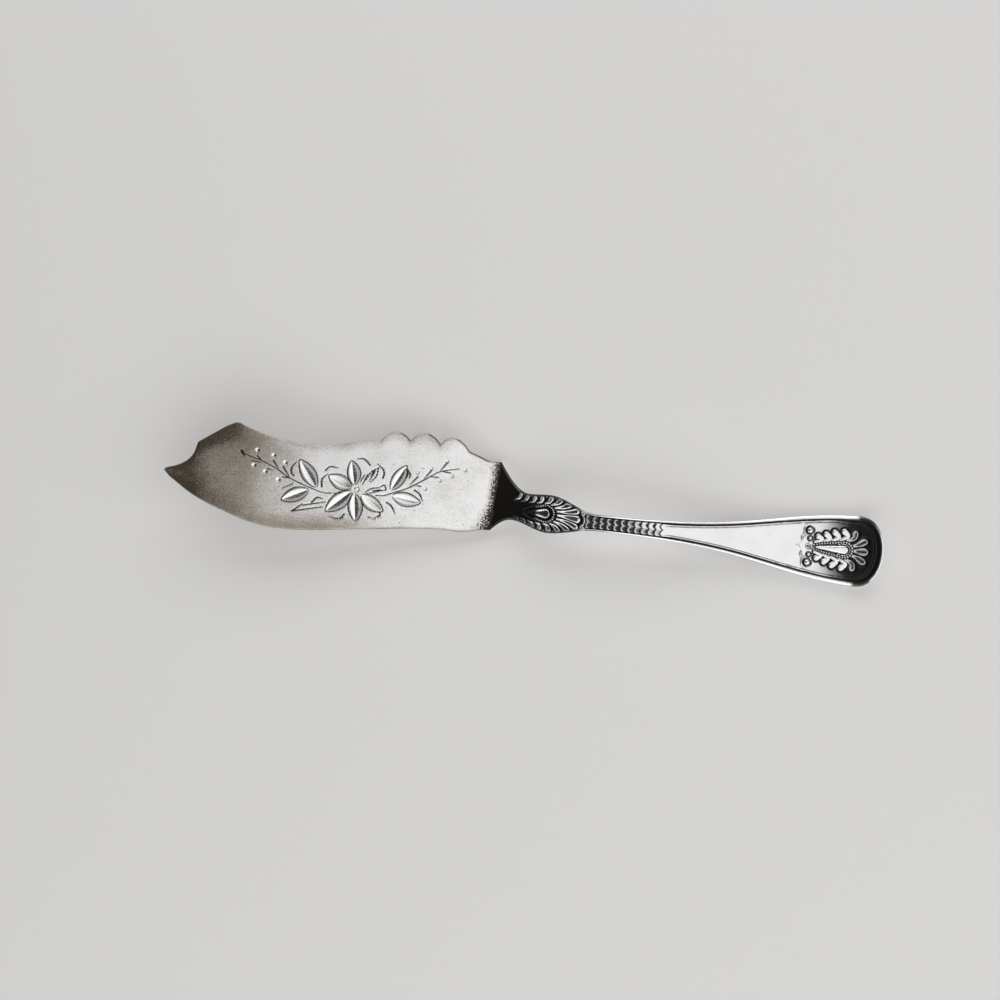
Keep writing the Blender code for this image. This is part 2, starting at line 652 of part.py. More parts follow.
def stand_on_table(pieces, collection):
    """Carry all pieces on one empty, which puts the origin under the middle of the knife."""
    bpy.context.view_layer.update()
    depsgraph = bpy.context.evaluated_depsgraph_get()
    corners = []
    for piece in pieces:
        seen = piece.evaluated_get(depsgraph)
        count = len(seen.data.vertices)
        local = np.empty(count * 3)
        seen.data.vertices.foreach_get("co", local)
        turn = np.array(piece.matrix_world)
        corners.append(local.reshape(count, 3) @ turn[:3, :3].T + turn[:3, 3])
    corners = np.concatenate(corners)
    low, high = corners.min(axis=0), corners.max(axis=0)
    carrier = bpy.data.objects.new("knife", None)
    collection.objects.link(carrier)
    carrier.location = (-(low[0] + high[0]) / 2, -(low[1] + high[1]) / 2, -low[2])
    for piece in pieces:
        piece.parent = carrier


empty_scene()
knife = new_collection("serving_knife")
tools = new_collection("tools")
blade = make_blade(knife, metal("worn_silver_plate", (0.62, 0.60, 0.60), 0.38))
handle = make_handle(knife, tools, metal("struck_silver_plate", (0.68, 0.68, 0.70), 0.25))
solder = make_solder(knife, metal("hard_solder", (0.55, 0.53, 0.47), 0.45))
stand_on_table([blade, handle, solder] + list(tools.objects), knife)
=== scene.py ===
"""Looks of a silver-plated master butter knife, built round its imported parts.

Sizes are millimetres, counted along x from the heel joint, along y from the handle's axis and up from the
table. in_frame() turns them into the frame's metres.
"""

import math

import bpy
import numpy as np
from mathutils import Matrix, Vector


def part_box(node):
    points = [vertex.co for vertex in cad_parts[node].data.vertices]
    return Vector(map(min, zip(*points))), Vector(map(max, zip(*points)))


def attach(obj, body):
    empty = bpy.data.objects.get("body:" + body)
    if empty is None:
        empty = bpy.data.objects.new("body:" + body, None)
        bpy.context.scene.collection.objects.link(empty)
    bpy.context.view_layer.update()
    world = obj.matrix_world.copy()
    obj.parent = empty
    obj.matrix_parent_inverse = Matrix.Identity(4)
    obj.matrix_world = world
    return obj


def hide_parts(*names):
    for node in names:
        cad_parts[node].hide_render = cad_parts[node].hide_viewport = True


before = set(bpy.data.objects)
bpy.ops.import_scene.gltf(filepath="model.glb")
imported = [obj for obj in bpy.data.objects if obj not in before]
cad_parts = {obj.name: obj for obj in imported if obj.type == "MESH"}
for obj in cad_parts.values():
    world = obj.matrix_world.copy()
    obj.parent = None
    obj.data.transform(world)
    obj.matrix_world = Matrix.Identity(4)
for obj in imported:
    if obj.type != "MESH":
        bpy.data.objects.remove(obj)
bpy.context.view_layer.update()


# Blade
# A flat sheet of silver-plated nickel silver, sawn to a sabre outline with three scallops, its edge filed
# round. It is cut by hand with a graver: a leaf is two slanting facets that meet in a valley, with a hatched
# band round them, and stems, berries and accents are single cuts.
MM = 0.001
HANDLE_LENGTH = 101.4
BELLY_DROP = 10.1
BLADE_LENGTH = 84.7
BLADE_THICKNESS = 1.2
BLADE_TILT = math.radians(10.0)
BLADE_ROUND = 0.32           # how far in from the outline the edge is filed
HEEL_SEAT = 1.25             # the sheet's underside over the neck's underside
HEEL_ABOVE = 12.9
HEEL_BELOW = 5.0
HEEL_MIDDLE = (HEEL_ABOVE - HEEL_BELOW) / 2
HEEL_SLANT = math.tan(math.radians(4.0))
HEEL_REACH = 8.0             # length over which the slant of the joint dies out
JOINT_GAP = 0.05
HEEL_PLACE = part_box("handle")[1].x / MM - HANDLE_LENGTH
AXIS_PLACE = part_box("blade")[0].y / MM + BELLY_DROP


def in_frame(x, y, z):
    """Metres in the frame: the knife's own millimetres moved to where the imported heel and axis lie."""
    return np.stack([x + HEEL_PLACE, y + AXIS_PLACE, z], axis=-1) * MM


def on_seat(x, y, z):
    """From the flat sheet to its place: lifted by the seat, then turned by the tilt about the heel."""
    up = z + HEEL_SEAT
    cosine, sine = math.cos(BLADE_TILT), math.sin(BLADE_TILT)
    return in_frame(x * cosine + up * sine, y, up * cosine - x * sine)


def blade_edges():
    """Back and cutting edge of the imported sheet, laid flat: its wall points above and below the middle line,
    each sorted from the tip to the heel."""
    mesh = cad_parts["blade"].data
    points = np.empty(len(mesh.vertices) * 3)
    mesh.vertices.foreach_get("co", points)
    x, y, z = (points.reshape(-1, 3) / MM - (HEEL_PLACE, AXIS_PLACE, 0.0)).T
    cosine, sine = math.cos(BLADE_TILT), math.sin(BLADE_TILT)
    level = x * sine + z * cosine - HEEL_SEAT
    wall = np.abs(level / BLADE_THICKNESS - 0.5) < 0.4
    flat = np.unique(np.round(np.stack([x * cosine - z * sine, y], axis=1)[wall], 2), axis=0)
    tip = flat[:1]
    middle = np.interp(flat[:, 0], [tip[0, 0], 0.0], [tip[0, 1], HEEL_MIDDLE])
    above = flat[1:][flat[1:, 1] > middle[1:]]
    below = flat[1:][flat[1:, 1] < middle[1:]]
    return np.concatenate([tip, above]), np.concatenate([tip, below])


def steps(*spans):
    """Places along a line, from a chain of (start, end, step) spans."""
    runs = [np.linspace(a, b, round(abs(b - a) / step) + 1)[:-1] for a, b, step in spans]
    return np.concatenate(runs + [[spans[-1][1]]])


def near_line(x, y, line):
    """Distance from every point to a chain of straight pieces, and the share of the chain's length at which
    its nearest place lies."""
    pieces = np.diff(line, axis=0)
    lengths = np.hypot(*pieces.T)
    walked = np.concatenate([[0.0], np.cumsum(lengths)])
    nearest = np.full(np.shape(x), np.inf)
    share = np.zeros(np.shape(x))
    for (ax, ay), (dx, dy), length, before in zip(line, pieces, lengths, walked):
        t = np.clip(((x - ax) * dx + (y - ay) * dy) / length**2, 0.0, 1.0)
        gap = np.hypot(x - ax - t * dx, y - ay - t * dy)
        closer = gap < nearest
        nearest = np.where(closer, gap, nearest)
        share = np.where(closer, (before + t * length) / walked[-1], share)
    return nearest, share


def edge_distance(x, y, edges, reach=3.0):
    """Distance from a grid of points to the nearest edge, never over reach, block by block along the grid
    so that each block only looks at the pieces of edge around it."""
    blocks = []
    for bx, by in zip(np.array_split(x, 40), np.array_split(y, 40)):
        nearest = np.full(bx.shape, reach)
        for edge in edges:
            around = (edge[:, 0] > bx.min() - reach) & (edge[:, 0] < bx.max() + reach)
            if around.sum() > 1:
                nearest = np.minimum(nearest, near_line(bx, by, edge[around])[0])
        blocks.append(nearest)
    return np.concatenate(blocks)


def ease(share):
    """Smooth step from 0 to 1."""
    share = np.clip(share, 0.0, 1.0)
    return share * share * (3 - 2 * share)


def quarter_round(share):
    """Height of a quarter circle: 0 at its foot, where share is 0, and 1 where share is 1 or more."""
    return np.sqrt(1 - (1 - np.clip(share, 0.0, 1.0)) ** 2)


def bend(points, count=16):
    """Smooth line through points: a Catmull-Rom curve, whose ends are carried on straight."""
    p = np.array(points, dtype=float)
    q = np.concatenate([2 * p[:1] - p[1:2], p, 2 * p[-1:] - p[-2:-1]])
    t = np.linspace(0.0, len(p) - 1, count)
    k = np.minimum(t.astype(int), len(p) - 2)
    f = (t - k)[:, None]
    a, b, c, d = q[k], q[k + 1], q[k + 2], q[k + 3]
    return b + 0.5 * f * (c - a + f * (2 * a - 5 * b + 4 * c - d + f * (3 * b - a - 3 * c + d)))


def within(x, y, line, reach):
    """Which grid points lie in a line's box, widened by reach."""
    low, high = line.min(axis=0) - reach, line.max(axis=0) + reach
    return (x > low[0]) & (x < high[0]) & (y > low[1]) & (y < high[1])


def closed_skin(name, rings):
    """Mesh over a stack of closed rings of points, each end shut by a fan round the ring's middle."""
    count, around = rings.shape[:2]
    here = np.arange(around)
    after = np.roll(here, -1)
    row = np.arange(count - 1)[:, None] * around
    quads = np.stack([row + here, row + after, row + around + after, row + around + here], axis=-1)
    last = (count - 1) * around
    first_fan = np.stack([after, here, np.full(around, count * around)], axis=-1)
    last_fan = np.stack([last + here, last + after, np.full(around, count * around + 1)], axis=-1)
    points = np.concatenate([rings.reshape(-1, 3), rings[[0, -1]].mean(axis=1)])
    mesh = bpy.data.meshes.new(name)
    mesh.from_pydata(points, [], quads.reshape(-1, 4).tolist() + first_fan.tolist() + last_fan.tolist())
    mesh.shade_smooth()
    mesh.set_sharp_from_angle(angle=math.radians(55))
    return mesh


def paint(mesh, name, values):
    """A number on each point of a skin, for its material. The two fan middles get none."""
    layer = mesh.attributes.new(name, "FLOAT", "POINT")
    layer.data.foreach_set("value", np.append(values.ravel(), [0.0, 0.0]).astype(np.float32))


# The sheet's grid: columns from the heel to the tip, rows over the face and back underneath.
blade_back, blade_belly = blade_edges()
blade_columns = steps((0.0, -8.0, 0.25), (-8.0, -67.0, 0.128), (-67.0, -BLADE_LENGTH + 0.06, 0.22))
edge_rows = np.array([0.0, 0.0008, 0.0025, 0.0055, 0.010, 0.016])
middle_rows = steps((0.025, 0.135, 0.018), (0.135, 0.88, 0.0062), (0.88, 0.975, 0.018))
face_rows = np.concatenate([edge_rows, middle_rows, 1 - edge_rows[::-1]])
under_rows = np.concatenate([1 - edge_rows[1:], np.linspace(0.93, 0.07, 6), edge_rows[:0:-1]])
blade_rows = np.concatenate([face_rows, under_rows])
slant_left = np.clip(1 + blade_columns / HEEL_REACH, 0.0, 1.0) ** 2
back_x = blade_columns + slant_left * (HEEL_SLANT * (HEEL_ABOVE - HEEL_MIDDLE) - JOINT_GAP)
belly_x = blade_columns + slant_left * (HEEL_SLANT * (-HEEL_BELOW - HEEL_MIDDLE) - JOINT_GAP)
back_y = np.interp(back_x, *blade_back.T)
belly_y = np.interp(belly_x, *blade_belly.T)
sheet_x = belly_x[:, None] + blade_rows * (back_x - belly_x)[:, None]
sheet_y = belly_y[:, None] + blade_rows * (back_y - belly_y)[:, None]
face_x, face_y = sheet_x[:, : len(face_rows)], sheet_y[:, : len(face_rows)]
cut_depth = np.zeros(face_x.shape)
cut_grime = np.zeros(face_x.shape)
cut_bright = np.zeros(face_x.shape)

FACET_SLOPE = math.tan(math.radians(10.5))
FACET_SHARE = 0.82           # of a leaf's half width
HATCHES = 24                 # along a leaf's band
OUTLINE_STEP = 0.34          # from a leaf's facets to the stroke round it


def cut_stroke(points, width, depth, swell, notches=0):
    """V cut along a smooth line. swell gives its strength at the start, middle and end of the stroke, and
    notches how often the graver rocked on the way."""
    line = bend(points)
    near = within(face_x, face_y, line, width)
    gap, share = near_line(face_x[near], face_y[near], line)
    strength = np.interp(share, [0.0, 0.5, 1.0], swell)
    strength *= np.where(notches > 0, 0.74 + 0.26 * np.cos(2 * math.pi * notches * share), 1.0)
    flank = np.clip(1 - gap / (0.5 * width * strength), 0.0, 1.0)
    cut_depth[near] = np.maximum(cut_depth[near], depth * strength * flank)
    cut_grime[near] = np.maximum(cut_grime[near], np.minimum(1.0, 2.5 * flank))


def cut_leaf(root, tip, left, right):
    """Leaf from root to tip: the metal falls from both sides, ever steeper, to a valley along the midrib.
    Each side's outline swells and shrinks as the sine of the way along, to the half widths left and right.
    Between facets and outline runs a band that is hatched grey."""
    root, tip = np.array(root), np.array(tip)
    length = math.dist(root, tip)
    ahead = (tip - root) / length
    aside = np.array([-ahead[1], ahead[0]])
    near = within(face_x, face_y, np.stack([root, tip]), max(left, right) + 1.0)
    dx, dy = face_x[near] - root[0], face_y[near] - root[1]
    share = (dx * ahead[0] + dy * ahead[1]) / length
    across = dx * aside[0] + dy * aside[1]
    swell = np.sin(math.pi * np.clip(share, 0.0, 1.0) ** 0.92) ** 0.8
    half = np.where(across > 0, left, right)
    facet_half = np.maximum(FACET_SHARE * half * swell, 1e-6)
    inside = np.clip(1 - np.abs(across) / facet_half, 0.0, 1.0)
    steep = FACET_SLOPE * FACET_SHARE * (left + right) / 2
    cut_depth[near] = np.maximum(cut_depth[near], inside**1.5 * swell * steep)
    cut_bright[near] = np.maximum(cut_bright[near], np.minimum(1.0, 6 * inside))
    in_band = (inside == 0) & (np.abs(across) < half * swell + OUTLINE_STEP * np.sqrt(swell))
    hatch = 0.5 + 0.2 * np.cos(2 * math.pi * HATCHES * share)
    cut_grime[near] = np.maximum(cut_grime[near], in_band * hatch)
    way = np.linspace(0.02, 0.99, 22)
    bow = np.sin(math.pi * way**0.92) ** 0.8
    for side, width in ((1, left), (-1, right)):
        off = side * (width * bow + OUTLINE_STEP * np.sqrt(bow))
        line = root + np.outer(way * length, ahead) + np.outer(off, aside)
        cut_stroke(line, width=0.5, depth=0.14, swell=(0.7, 1.0, 0.9), notches=13)


def cut_berry(x, y, radius=0.64, depth=0.17):
    """Round hollow of a berry, shaped as a shallow bowl."""
    near = np.hypot(face_x - x, face_y - y) < radius
    gap = np.hypot(face_x[near] - x, face_y[near] - y) / radius
    cut_depth[near] = np.maximum(cut_depth[near], depth * (1 - gap**2))
    cut_bright[near] = np.maximum(cut_bright[near], 1 - gap**4)


LEAVES = (
    ((-46.4, 1.3), (-51.3, 7.8), 1.45, 1.55),
    ((-48.3, 0.4), (-54.9, -2.8), 1.35, 1.45),
    ((-37.5, 2.2), (-43.6, 4.6), 1.6, 1.4),
    ((-36.8, 2.9), (-38.2, 9.0), 1.15, 1.6),
    ((-37.4, 1.2), (-43.5, -4.5), 1.65, 1.6),
    ((-36.6, 0.8), (-35.6, -6.3), 1.6, 1.45),
    ((-34.8, 0.6), (-28.9, -3.0), 1.2, 1.6),
    ((-27.4, 2.7), (-24.0, 9.3), 1.25, 1.3),
    ((-26.9, 1.2), (-19.5, 0.2), 1.35, 1.5),
)
STEMS = (
    (
        ((-65.4, 7.7), (-60.5, 6.4), (-56.5, 4.7), (-54.4, 3.4))
        + ((-50.8, 1.9), (-47.2, 0.8), (-44.3, 0.1), (-39.9, 0.6))
    ),
    (
        ((-31.1, 0.9), (-29.2, 1.0), (-26.8, 2.0), (-24.4, 3.0))
        + ((-22.1, 4.2), (-17.4, 7.4), (-15.1, 8.8), (-10.4, 10.0))
    ),
)
STALKS = (
    ((-57.9, 6.8), (-56.4, 5.0)),
    ((-55.3, 5.6), (-53.6, 3.3)),
    ((-59.2, 4.6), (-57.6, 4.5)),
    ((-55.2, 3.0), (-53.7, 2.9)),
    ((-62.0, 7.6), (-60.8, 6.4)),
    ((-63.2, 6.2), (-60.9, 6.1)),
    ((-20.9, 6.8), (-22.7, 4.5)),
    ((-19.9, 4.4), (-21.1, 4.5)),
    ((-17.6, 8.7), (-19.2, 6.5)),
    ((-15.7, 7.2), (-17.9, 7.1)),
    ((-13.7, 11.2), (-15.3, 8.9)),
    ((-12.6, 8.7), (-14.6, 8.8)),
)
BERRIES = ((-57.9, 8.1), (-54.8, 6.6), (-59.6, 3.8), (-56.1, 2.1), (-62.1, 9.0), (-62.6, 5.1))
SMALL_BERRIES = (
    ((-21.1, 7.8), (-18.7, 3.9), (-17.6, 9.3), (-15.2, 6.4))
    + ((-13.7, 11.5), (-8.8, 9.8), (-12.1, 7.9))
)
SMALL_BERRY = 0.42           # radius of the open ring that is cut for one
SEED = ((-66.1, 8.5), (-65.3, 7.4))
ACCENTS = (
    ((-52.1, 7.1), (-53.1, 5.7), (-53.1, 4.4), (-52.5, 3.7)),
    ((-44.0, 4.9), (-45.2, 3.5), (-45.1, 1.7)),
    ((-41.5, 6.8), (-43.4, 6.9), (-44.5, 5.9)),
    ((-44.5, -1.4), (-46.0, -1.3), (-47.1, -2.5)),
    ((-42.2, -5.8), (-40.4, -6.1), (-39.3, -5.7), (-38.8, -4.9)),
    ((-36.7, 9.6), (-35.1, 9.8), (-33.5, 8.5)),
    ((-31.5, 8.9), (-30.1, 7.8), (-29.6, 6.7), (-29.8, 5.6)),
    ((-32.5, -4.8), (-31.1, -5.0), (-29.7, -4.2), (-29.6, -3.5)),
    ((-25.7, -3.3), (-26.9, -1.4), (-28.1, -0.7)),
    ((-19.0, 0.7), (-20.0, 2.4), (-21.3, 3.2)),
    ((-23.8, 6.0), (-23.5, 7.3), (-24.0, 8.3)),
    ((-23.1, 6.1), (-22.9, 7.1), (-23.5, 8.0)),
)
BUD_STROKES = (
    ((-34.8, 3.3), (-33.8, 5.9)),
    ((-33.2, 4.3), (-32.0, 6.9)),
    ((-34.0, 4.6), (-33.0, 6.6), (-31.2, 7.9)),
    ((-32.8, 4.1), (-31.5, 5.8), (-31.2, 7.8)),
    ((-33.8, 1.4), (-32.6, 2.4), (-30.5, 2.9)),
    ((-30.5, 2.9), (-29.3, 3.7), (-28.7, 2.7)),
    ((-33.4, 1.0), (-30.6, 2.0), (-28.9, 2.5)),
    ((-35.4, 4.0), (-34.6, 5.6)),
    ((-33.0, 5.6), (-32.0, 7.4)),
    ((-32.2, 1.9), (-30.2, 2.4)),
)
LONG_LEAF = (((-52.0, -5.4), (-49.5, -3.3)), ((-49.3, -3.6), (-43.9, -2.2)), ((-52.0, -5.4), (-44.4, -3.5)))
TICKS_FROM, TICKS_TO = np.array([-54.9, 0.1]), np.array([-52.7, 1.3])
TICK_COUNT = 5
TICK = np.array([0.25, 0.55])
FLOWER_HEART = np.array([-36.3, 1.9])
HEART_RADIUS = 0.62

for leaf in LEAVES:
    cut_leaf(*leaf)
for stem in STEMS:
    cut_stroke(stem, width=0.42, depth=0.14, swell=(0.9, 1.0, 0.7))
for stalk in STALKS:
    cut_stroke(stalk, width=0.5, depth=0.17, swell=(0.9, 0.9, 0.4))
for accent in ACCENTS:
    cut_stroke(accent, width=0.7, depth=0.2, swell=(0.5, 1.0, 1.0), notches=6)
for bud in BUD_STROKES:
    cut_stroke(bud, width=0.58, depth=0.18, swell=(0.6, 1.0, 0.8), notches=5)
for edge in LONG_LEAF:
    cut_stroke(edge, width=0.52, depth=0.17, swell=(0.9, 1.0, 0.7))
for berry in BERRIES:
    cut_berry(*berry)
for x, y in SMALL_BERRIES:
    turns = np.linspace(-2.6, 1.2, 7)
    ring = [(x + SMALL_BERRY * math.cos(a), y + SMALL_BERRY * math.sin(a)) for a in turns]
    cut_stroke(ring, width=0.26, depth=0.08, swell=(0.5, 1.0, 0.5))
for share in np.linspace(0.0, 1.0, TICK_COUNT):
    foot = TICKS_FROM + share * (TICKS_TO - TICKS_FROM)
    cut_stroke((foot, foot + TICK), width=0.34, depth=0.1, swell=(1.0, 0.8, 0.5))
for angle in np.linspace(0.0, 2 * math.pi, 7)[:-1]:
    dot = FLOWER_HEART + HEART_RADIUS * np.array([math.cos(angle), math.sin(angle)])
    cut_berry(*dot, radius=0.3, depth=0.1)
cut_stroke(SEED, width=0.95, depth=0.24, swell=(0.8, 1.0, 0.5))

over = np.where(np.arange(len(blade_rows)) < len(face_rows), 1.0, -1.0)
edge_gap = edge_distance(sheet_x, sheet_y, (blade_back, blade_belly))
round_off = quarter_round(edge_gap / BLADE_ROUND)
sheet_z = BLADE_THICKNESS / 2 * (1 + over * round_off)
sheet_z[:, : len(face_rows)] -= cut_depth
blade_mesh = closed_skin("engraved_blade", on_seat(sheet_x, sheet_y, sheet_z))
no_cut = np.zeros((len(blade_columns), len(under_rows)))
paint(blade_mesh, "grime", np.concatenate([cut_grime, no_cut], axis=1))
paint(blade_mesh, "bright_cut", np.concatenate([cut_bright, no_cut], axis=1))
joint_reach = 2.8 + 4.8 * np.clip(1 - blade_rows / 0.42, 0.0, 1.0) ** 1.3
by_joint = np.clip(1 + blade_columns[:, None] / joint_reach, 0.0, 1.0)
paint(blade_mesh, "by_joint", by_joint)
# The sheet darkens towards the tip, along the belly and along the back: brown tarnish, and painted shade that
# stands in for the lamp's reflection fading over the face.
at_tip = ease((-sheet_x - 44.0) / 32.0) * (0.75 + 0.25 * ease((blade_rows - 0.7) / 0.18))
at_tip = at_tip + 0.16 * ease((-sheet_x - 73.0) / 7.0)
along_belly = 0.55 * ease((-sheet_x - 26.0) / 13.0) * ease(1 - blade_rows / 0.34)
along_back = 0.32 * ease((-sheet_x - 8.0) / 10.0) * ease((blade_rows - 0.86) / 0.14)
blade_tarnish_and_shade = np.maximum(at_tip, np.maximum(along_belly, along_back)) + 0.35 * at_tip * along_belly

# A line of painted shade lies on the filed edge, blackest where the scallops fall away towards the handle
# and turn away from the light.
falls_away = ease(-np.gradient(back_y, back_x) / 0.4) * ease((blade_columns + 40.0) / 6.0)
on_edge = np.where(blade_rows > 0.5, 0.42 + 0.58 * falls_away[:, None], 0.6)
painted_edge_shade = on_edge * ease(1.2 - edge_gap / 0.6)
blade_tarnish_and_shade = np.maximum(blade_tarnish_and_shade, painted_edge_shade)
# Tarnish and painted shade together, with a soft darkening towards the joint.
paint(blade_mesh, "tarnish_and_shade", np.maximum(blade_tarnish_and_shade, 0.6 * by_joint))


def link(tree, source, target):
    """Joins an output socket to an input socket."""
    tree.links.new(source, target)
    return target.node


def noise(tree, place, scale, detail=4.0, stretch=(1.0, 1.0, 1.0), turn=0.0):
    """Grey noise on the piece's own coordinates, drawn out along a direction by stretch and turn."""
    mapping = tree.nodes.new("ShaderNodeMapping")
    mapping.inputs["Scale"].default_value = stretch
    mapping.inputs["Rotation"].default_value = (0.0, 0.0, turn)
    link(tree, place, mapping.inputs["Vector"])
    texture = tree.nodes.new("ShaderNodeTexNoise")
    texture.inputs["Scale"].default_value = scale
    texture.inputs["Detail"].default_value = detail
    link(tree, mapping.outputs["Vector"], texture.inputs["Vector"])
    return texture.outputs["Fac"]


def spread(tree, value, low, high, to_low=0.0, to_high=1.0):
    """A value carried from one range to another, and held at its ends."""
    ramp = tree.nodes.new("ShaderNodeMapRange")
    link(tree, value, ramp.inputs["Value"])
    ramp.inputs["From Min"].default_value = low
    ramp.inputs["From Max"].default_value = high
    ramp.inputs["To Min"].default_value = to_low
    ramp.inputs["To Max"].default_value = to_high
    return ramp.outputs["Result"]


def work_out(tree, operation, first, second):
    """One sum on two values, each an output socket or a plain number."""
    math_node = tree.nodes.new("ShaderNodeMath")
    math_node.operation = operation
    for socket, value in zip(math_node.inputs, (first, second)):
        if isinstance(value, (int, float)):
            socket.default_value = value
        else:
            link(tree, value, socket)
    return math_node.outputs["Value"]


def tint(tree, share, first, second):
    """Colour that goes from first to second as share goes from 0 to 1."""
    mix = tree.nodes.new("ShaderNodeMix")
    mix.data_type = "RGBA"
    link(tree, share, mix.inputs["Factor"])
    for socket, value in ((mix.inputs["A"], first), (mix.inputs["B"], second)):
        if isinstance(value, tuple):
            socket.default_value = (*value, 1.0)
        else:
            link(tree, value, socket)
    return mix.outputs["Result"]


def painted(tree, name):
    """The number that paint() put on the piece's points."""
    layer = tree.nodes.new("ShaderNodeAttribute")
    layer.attribute_name = name
    return layer.outputs["Fac"]


def new_metal(name):
    """Empty metal finish: its node tree, its shader and the piece's own coordinates."""
    finish = bpy.data.materials.new(name)
    finish.use_nodes = True
    tree = finish.node_tree
    shader = tree.nodes["Principled BSDF"]
    shader.inputs["Metallic"].default_value = 1.0
    place = tree.nodes.new("ShaderNodeTexCoord").outputs["Object"]
    return finish, tree, shader, place


def bump(tree, shader, height, distance, strength=None):
    """Fine unevenness of the surface, as deep as distance in metres, times a strength if one is given."""
    node = tree.nodes.new("ShaderNodeBump")
    node.inputs["Strength"].default_value = 1.0
    if strength:
        link(tree, strength, node.inputs["Strength"])
    node.inputs["Distance"].default_value = distance
    link(tree, height, node.inputs["Height"])
    link(tree, node.outputs["Normal"], shader.inputs["Normal"])


def worn_and_shaded_plate():
    """Satin plate: a fine grain with crossing scratches, cloudy brown tarnish and painted shade that thicken
    towards the tip, painted shade on the filed edge, specks of dirt by the joint, black dirt in the graver's
    strokes and polish on the leaf facets."""
    finish, tree, shader, place = new_metal("worn_silver_plate")
    cloud = noise(tree, place, 120.0, 5.0)
    grain = noise(tree, place, 2600.0, 3.0)
    scratch = noise(tree, place, 1.0, 2.0, (180.0, 5200.0, 180.0), 0.12)
    cross_scratch = noise(tree, place, 1.0, 2.0, (240.0, 4200.0, 240.0), 1.0)
    tarnish_and_shade = work_out(tree, "ADD", painted(tree, "tarnish_and_shade"), spread(tree, cloud, 0.3, 0.7, -0.10, 0.12))
    tarnish_and_shade = work_out(tree, "ADD", tarnish_and_shade, spread(tree, grain, 0.3, 0.7, -0.12, 0.15))
    speck = work_out(tree, "MULTIPLY_ADD", noise(tree, place, 2800.0, 3.0), 2.2)
    link(tree, painted(tree, "by_joint"), speck.node.inputs[2])
    speck = spread(tree, speck, 1.55, 1.8)
    pit = spread(tree, noise(tree, place, 900.0, 2.0), 0.71, 0.74)
    silver = tint(tree, spread(tree, tarnish_and_shade, 0.0, 0.5), (0.95, 0.945, 0.94), (0.49, 0.445, 0.39))
    silver = tint(tree, spread(tree, tarnish_and_shade, 0.5, 1.0), silver, (0.10, 0.078, 0.058))
    silver = tint(tree, work_out(tree, "MULTIPLY", pit, 0.5), silver, (0.20, 0.17, 0.15))
    silver = tint(tree, painted(tree, "bright_cut"), silver, (0.93, 0.92, 0.91))
    dirt = work_out(tree, "MAXIMUM", painted(tree, "grime"), speck)
    link(tree, tint(tree, dirt, silver, (0.03, 0.027, 0.025)), shader.inputs["Base Color"])
    rough = work_out(tree, "MULTIPLY_ADD", painted(tree, "bright_cut"), -0.10)
    link(tree, spread(tree, scratch, 0.3, 0.7, 0.30, 0.39), rough.node.inputs[2])
    link(tree, rough, shader.inputs["Roughness"])
    relief = work_out(tree, "ADD", work_out(tree, "ADD", scratch, cross_scratch), grain)
    relief = work_out(tree, "SUBTRACT", relief, work_out(tree, "MULTIPLY", pit, 0.6))
    bump(tree, shader, relief, 0.00003, spread(tree, painted(tree, "bright_cut"), 0.0, 1.0, 1.0, 0.06))
    return finish


blade_mesh.materials.append(worn_and_shaded_plate())
blade_piece = bpy.data.objects.new("engraved_blade", blade_mesh)
bpy.context.scene.collection.objects.link(blade_piece)
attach(blade_piece, "root")
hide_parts("blade")


# Handle
# One piece of silver-plated nickel silver, struck between dies: a thin tongue that laps under the blade, a
# cranked neck with a fluted shell, a shank of overlapping leaves, a plain panel and a palmette, with a rim
# round it.
WAIST_ABOVE_AT = 8.9
SHELL_AT = 14.2
SHANK_AT = 26.5
END_HALF = 9.15
END_ROUND = 6.9
END_AT = HANDLE_LENGTH - END_ROUND
PANEL_AT = (SHANK_AT + END_AT) / 2
TONGUE_LENGTH = 8.0
TONGUE_MARGIN = 2.4
TONGUE_CORNER = 3.6
TONGUE_THICKNESS = 0.9


def smooth_through(x, stations):
    """Cubic Hermite curve through stations of (place, value, slope)."""
    place, value, slope = (np.array(column) for column in zip(*stations))
    left = np.clip(np.searchsorted(place, x) - 1, 0, len(place) - 2)
    span = place[left + 1] - place[left]
    t = np.clip((x - place[left]) / span, 0.0, 1.0)
    blend = t * t * (3 - 2 * t)
    tangents = t * (1 - t) ** 2 * span * slope[left] + t * t * (t - 1) * span * slope[left + 1]
    return value[left] * (1 - blend) + value[left + 1] * blend + tangents


def half_width(x, neck):
    """One edge of the handle, from the heel over the neck's stations to the rounded end, whose width falls
    as the root of 1 minus a power of the way round."""
    shank = [(SHANK_AT, 2.1, 0.0), (PANEL_AT, 4.15, 0.138), (END_AT, END_HALF, 0.0)]
    way = np.clip((x - END_AT) / END_ROUND, 0.0, 1.0)
    return smooth_through(x, neck + shank) * np.sqrt(1 - way**2.4)


def edge_above(x):
    """The handle's edge on the scalloped side."""
    return half_width(x, [(0.0, HEEL_ABOVE, -1.05), (WAIST_ABOVE_AT, 5.55, 0.0), (SHELL_AT, 5.8, 0.0)])


def edge_below(x):
    """The handle's edge on the cutting edge's side."""
    return -half_width(x, [(0.0, HEEL_BELOW, -1.2), (4.8, 1.65, 0.0), (SHELL_AT, 3.95, 0.0)])


def underside(x):
    """Height of the underside: up from the heel to the crank's arch, down to the table, up at the end."""
    stations = [(0.0, 0.0, 0.5), (25.0, 8.0, 0.0), (85.0, 0.0, 0.0), (HANDLE_LENGTH, 1.6, 0.2)]
    return smooth_through(x, stations)


def thickness(x):
    """Thickness of the plain bar without its relief."""
    stations = [(0.0, 2.45, 0.0), (SHELL_AT, 2.9, 0.0), (SHANK_AT, 3.1, 0.0), (END_AT, 2.1, 0.0)]
    return smooth_through(x, stations)


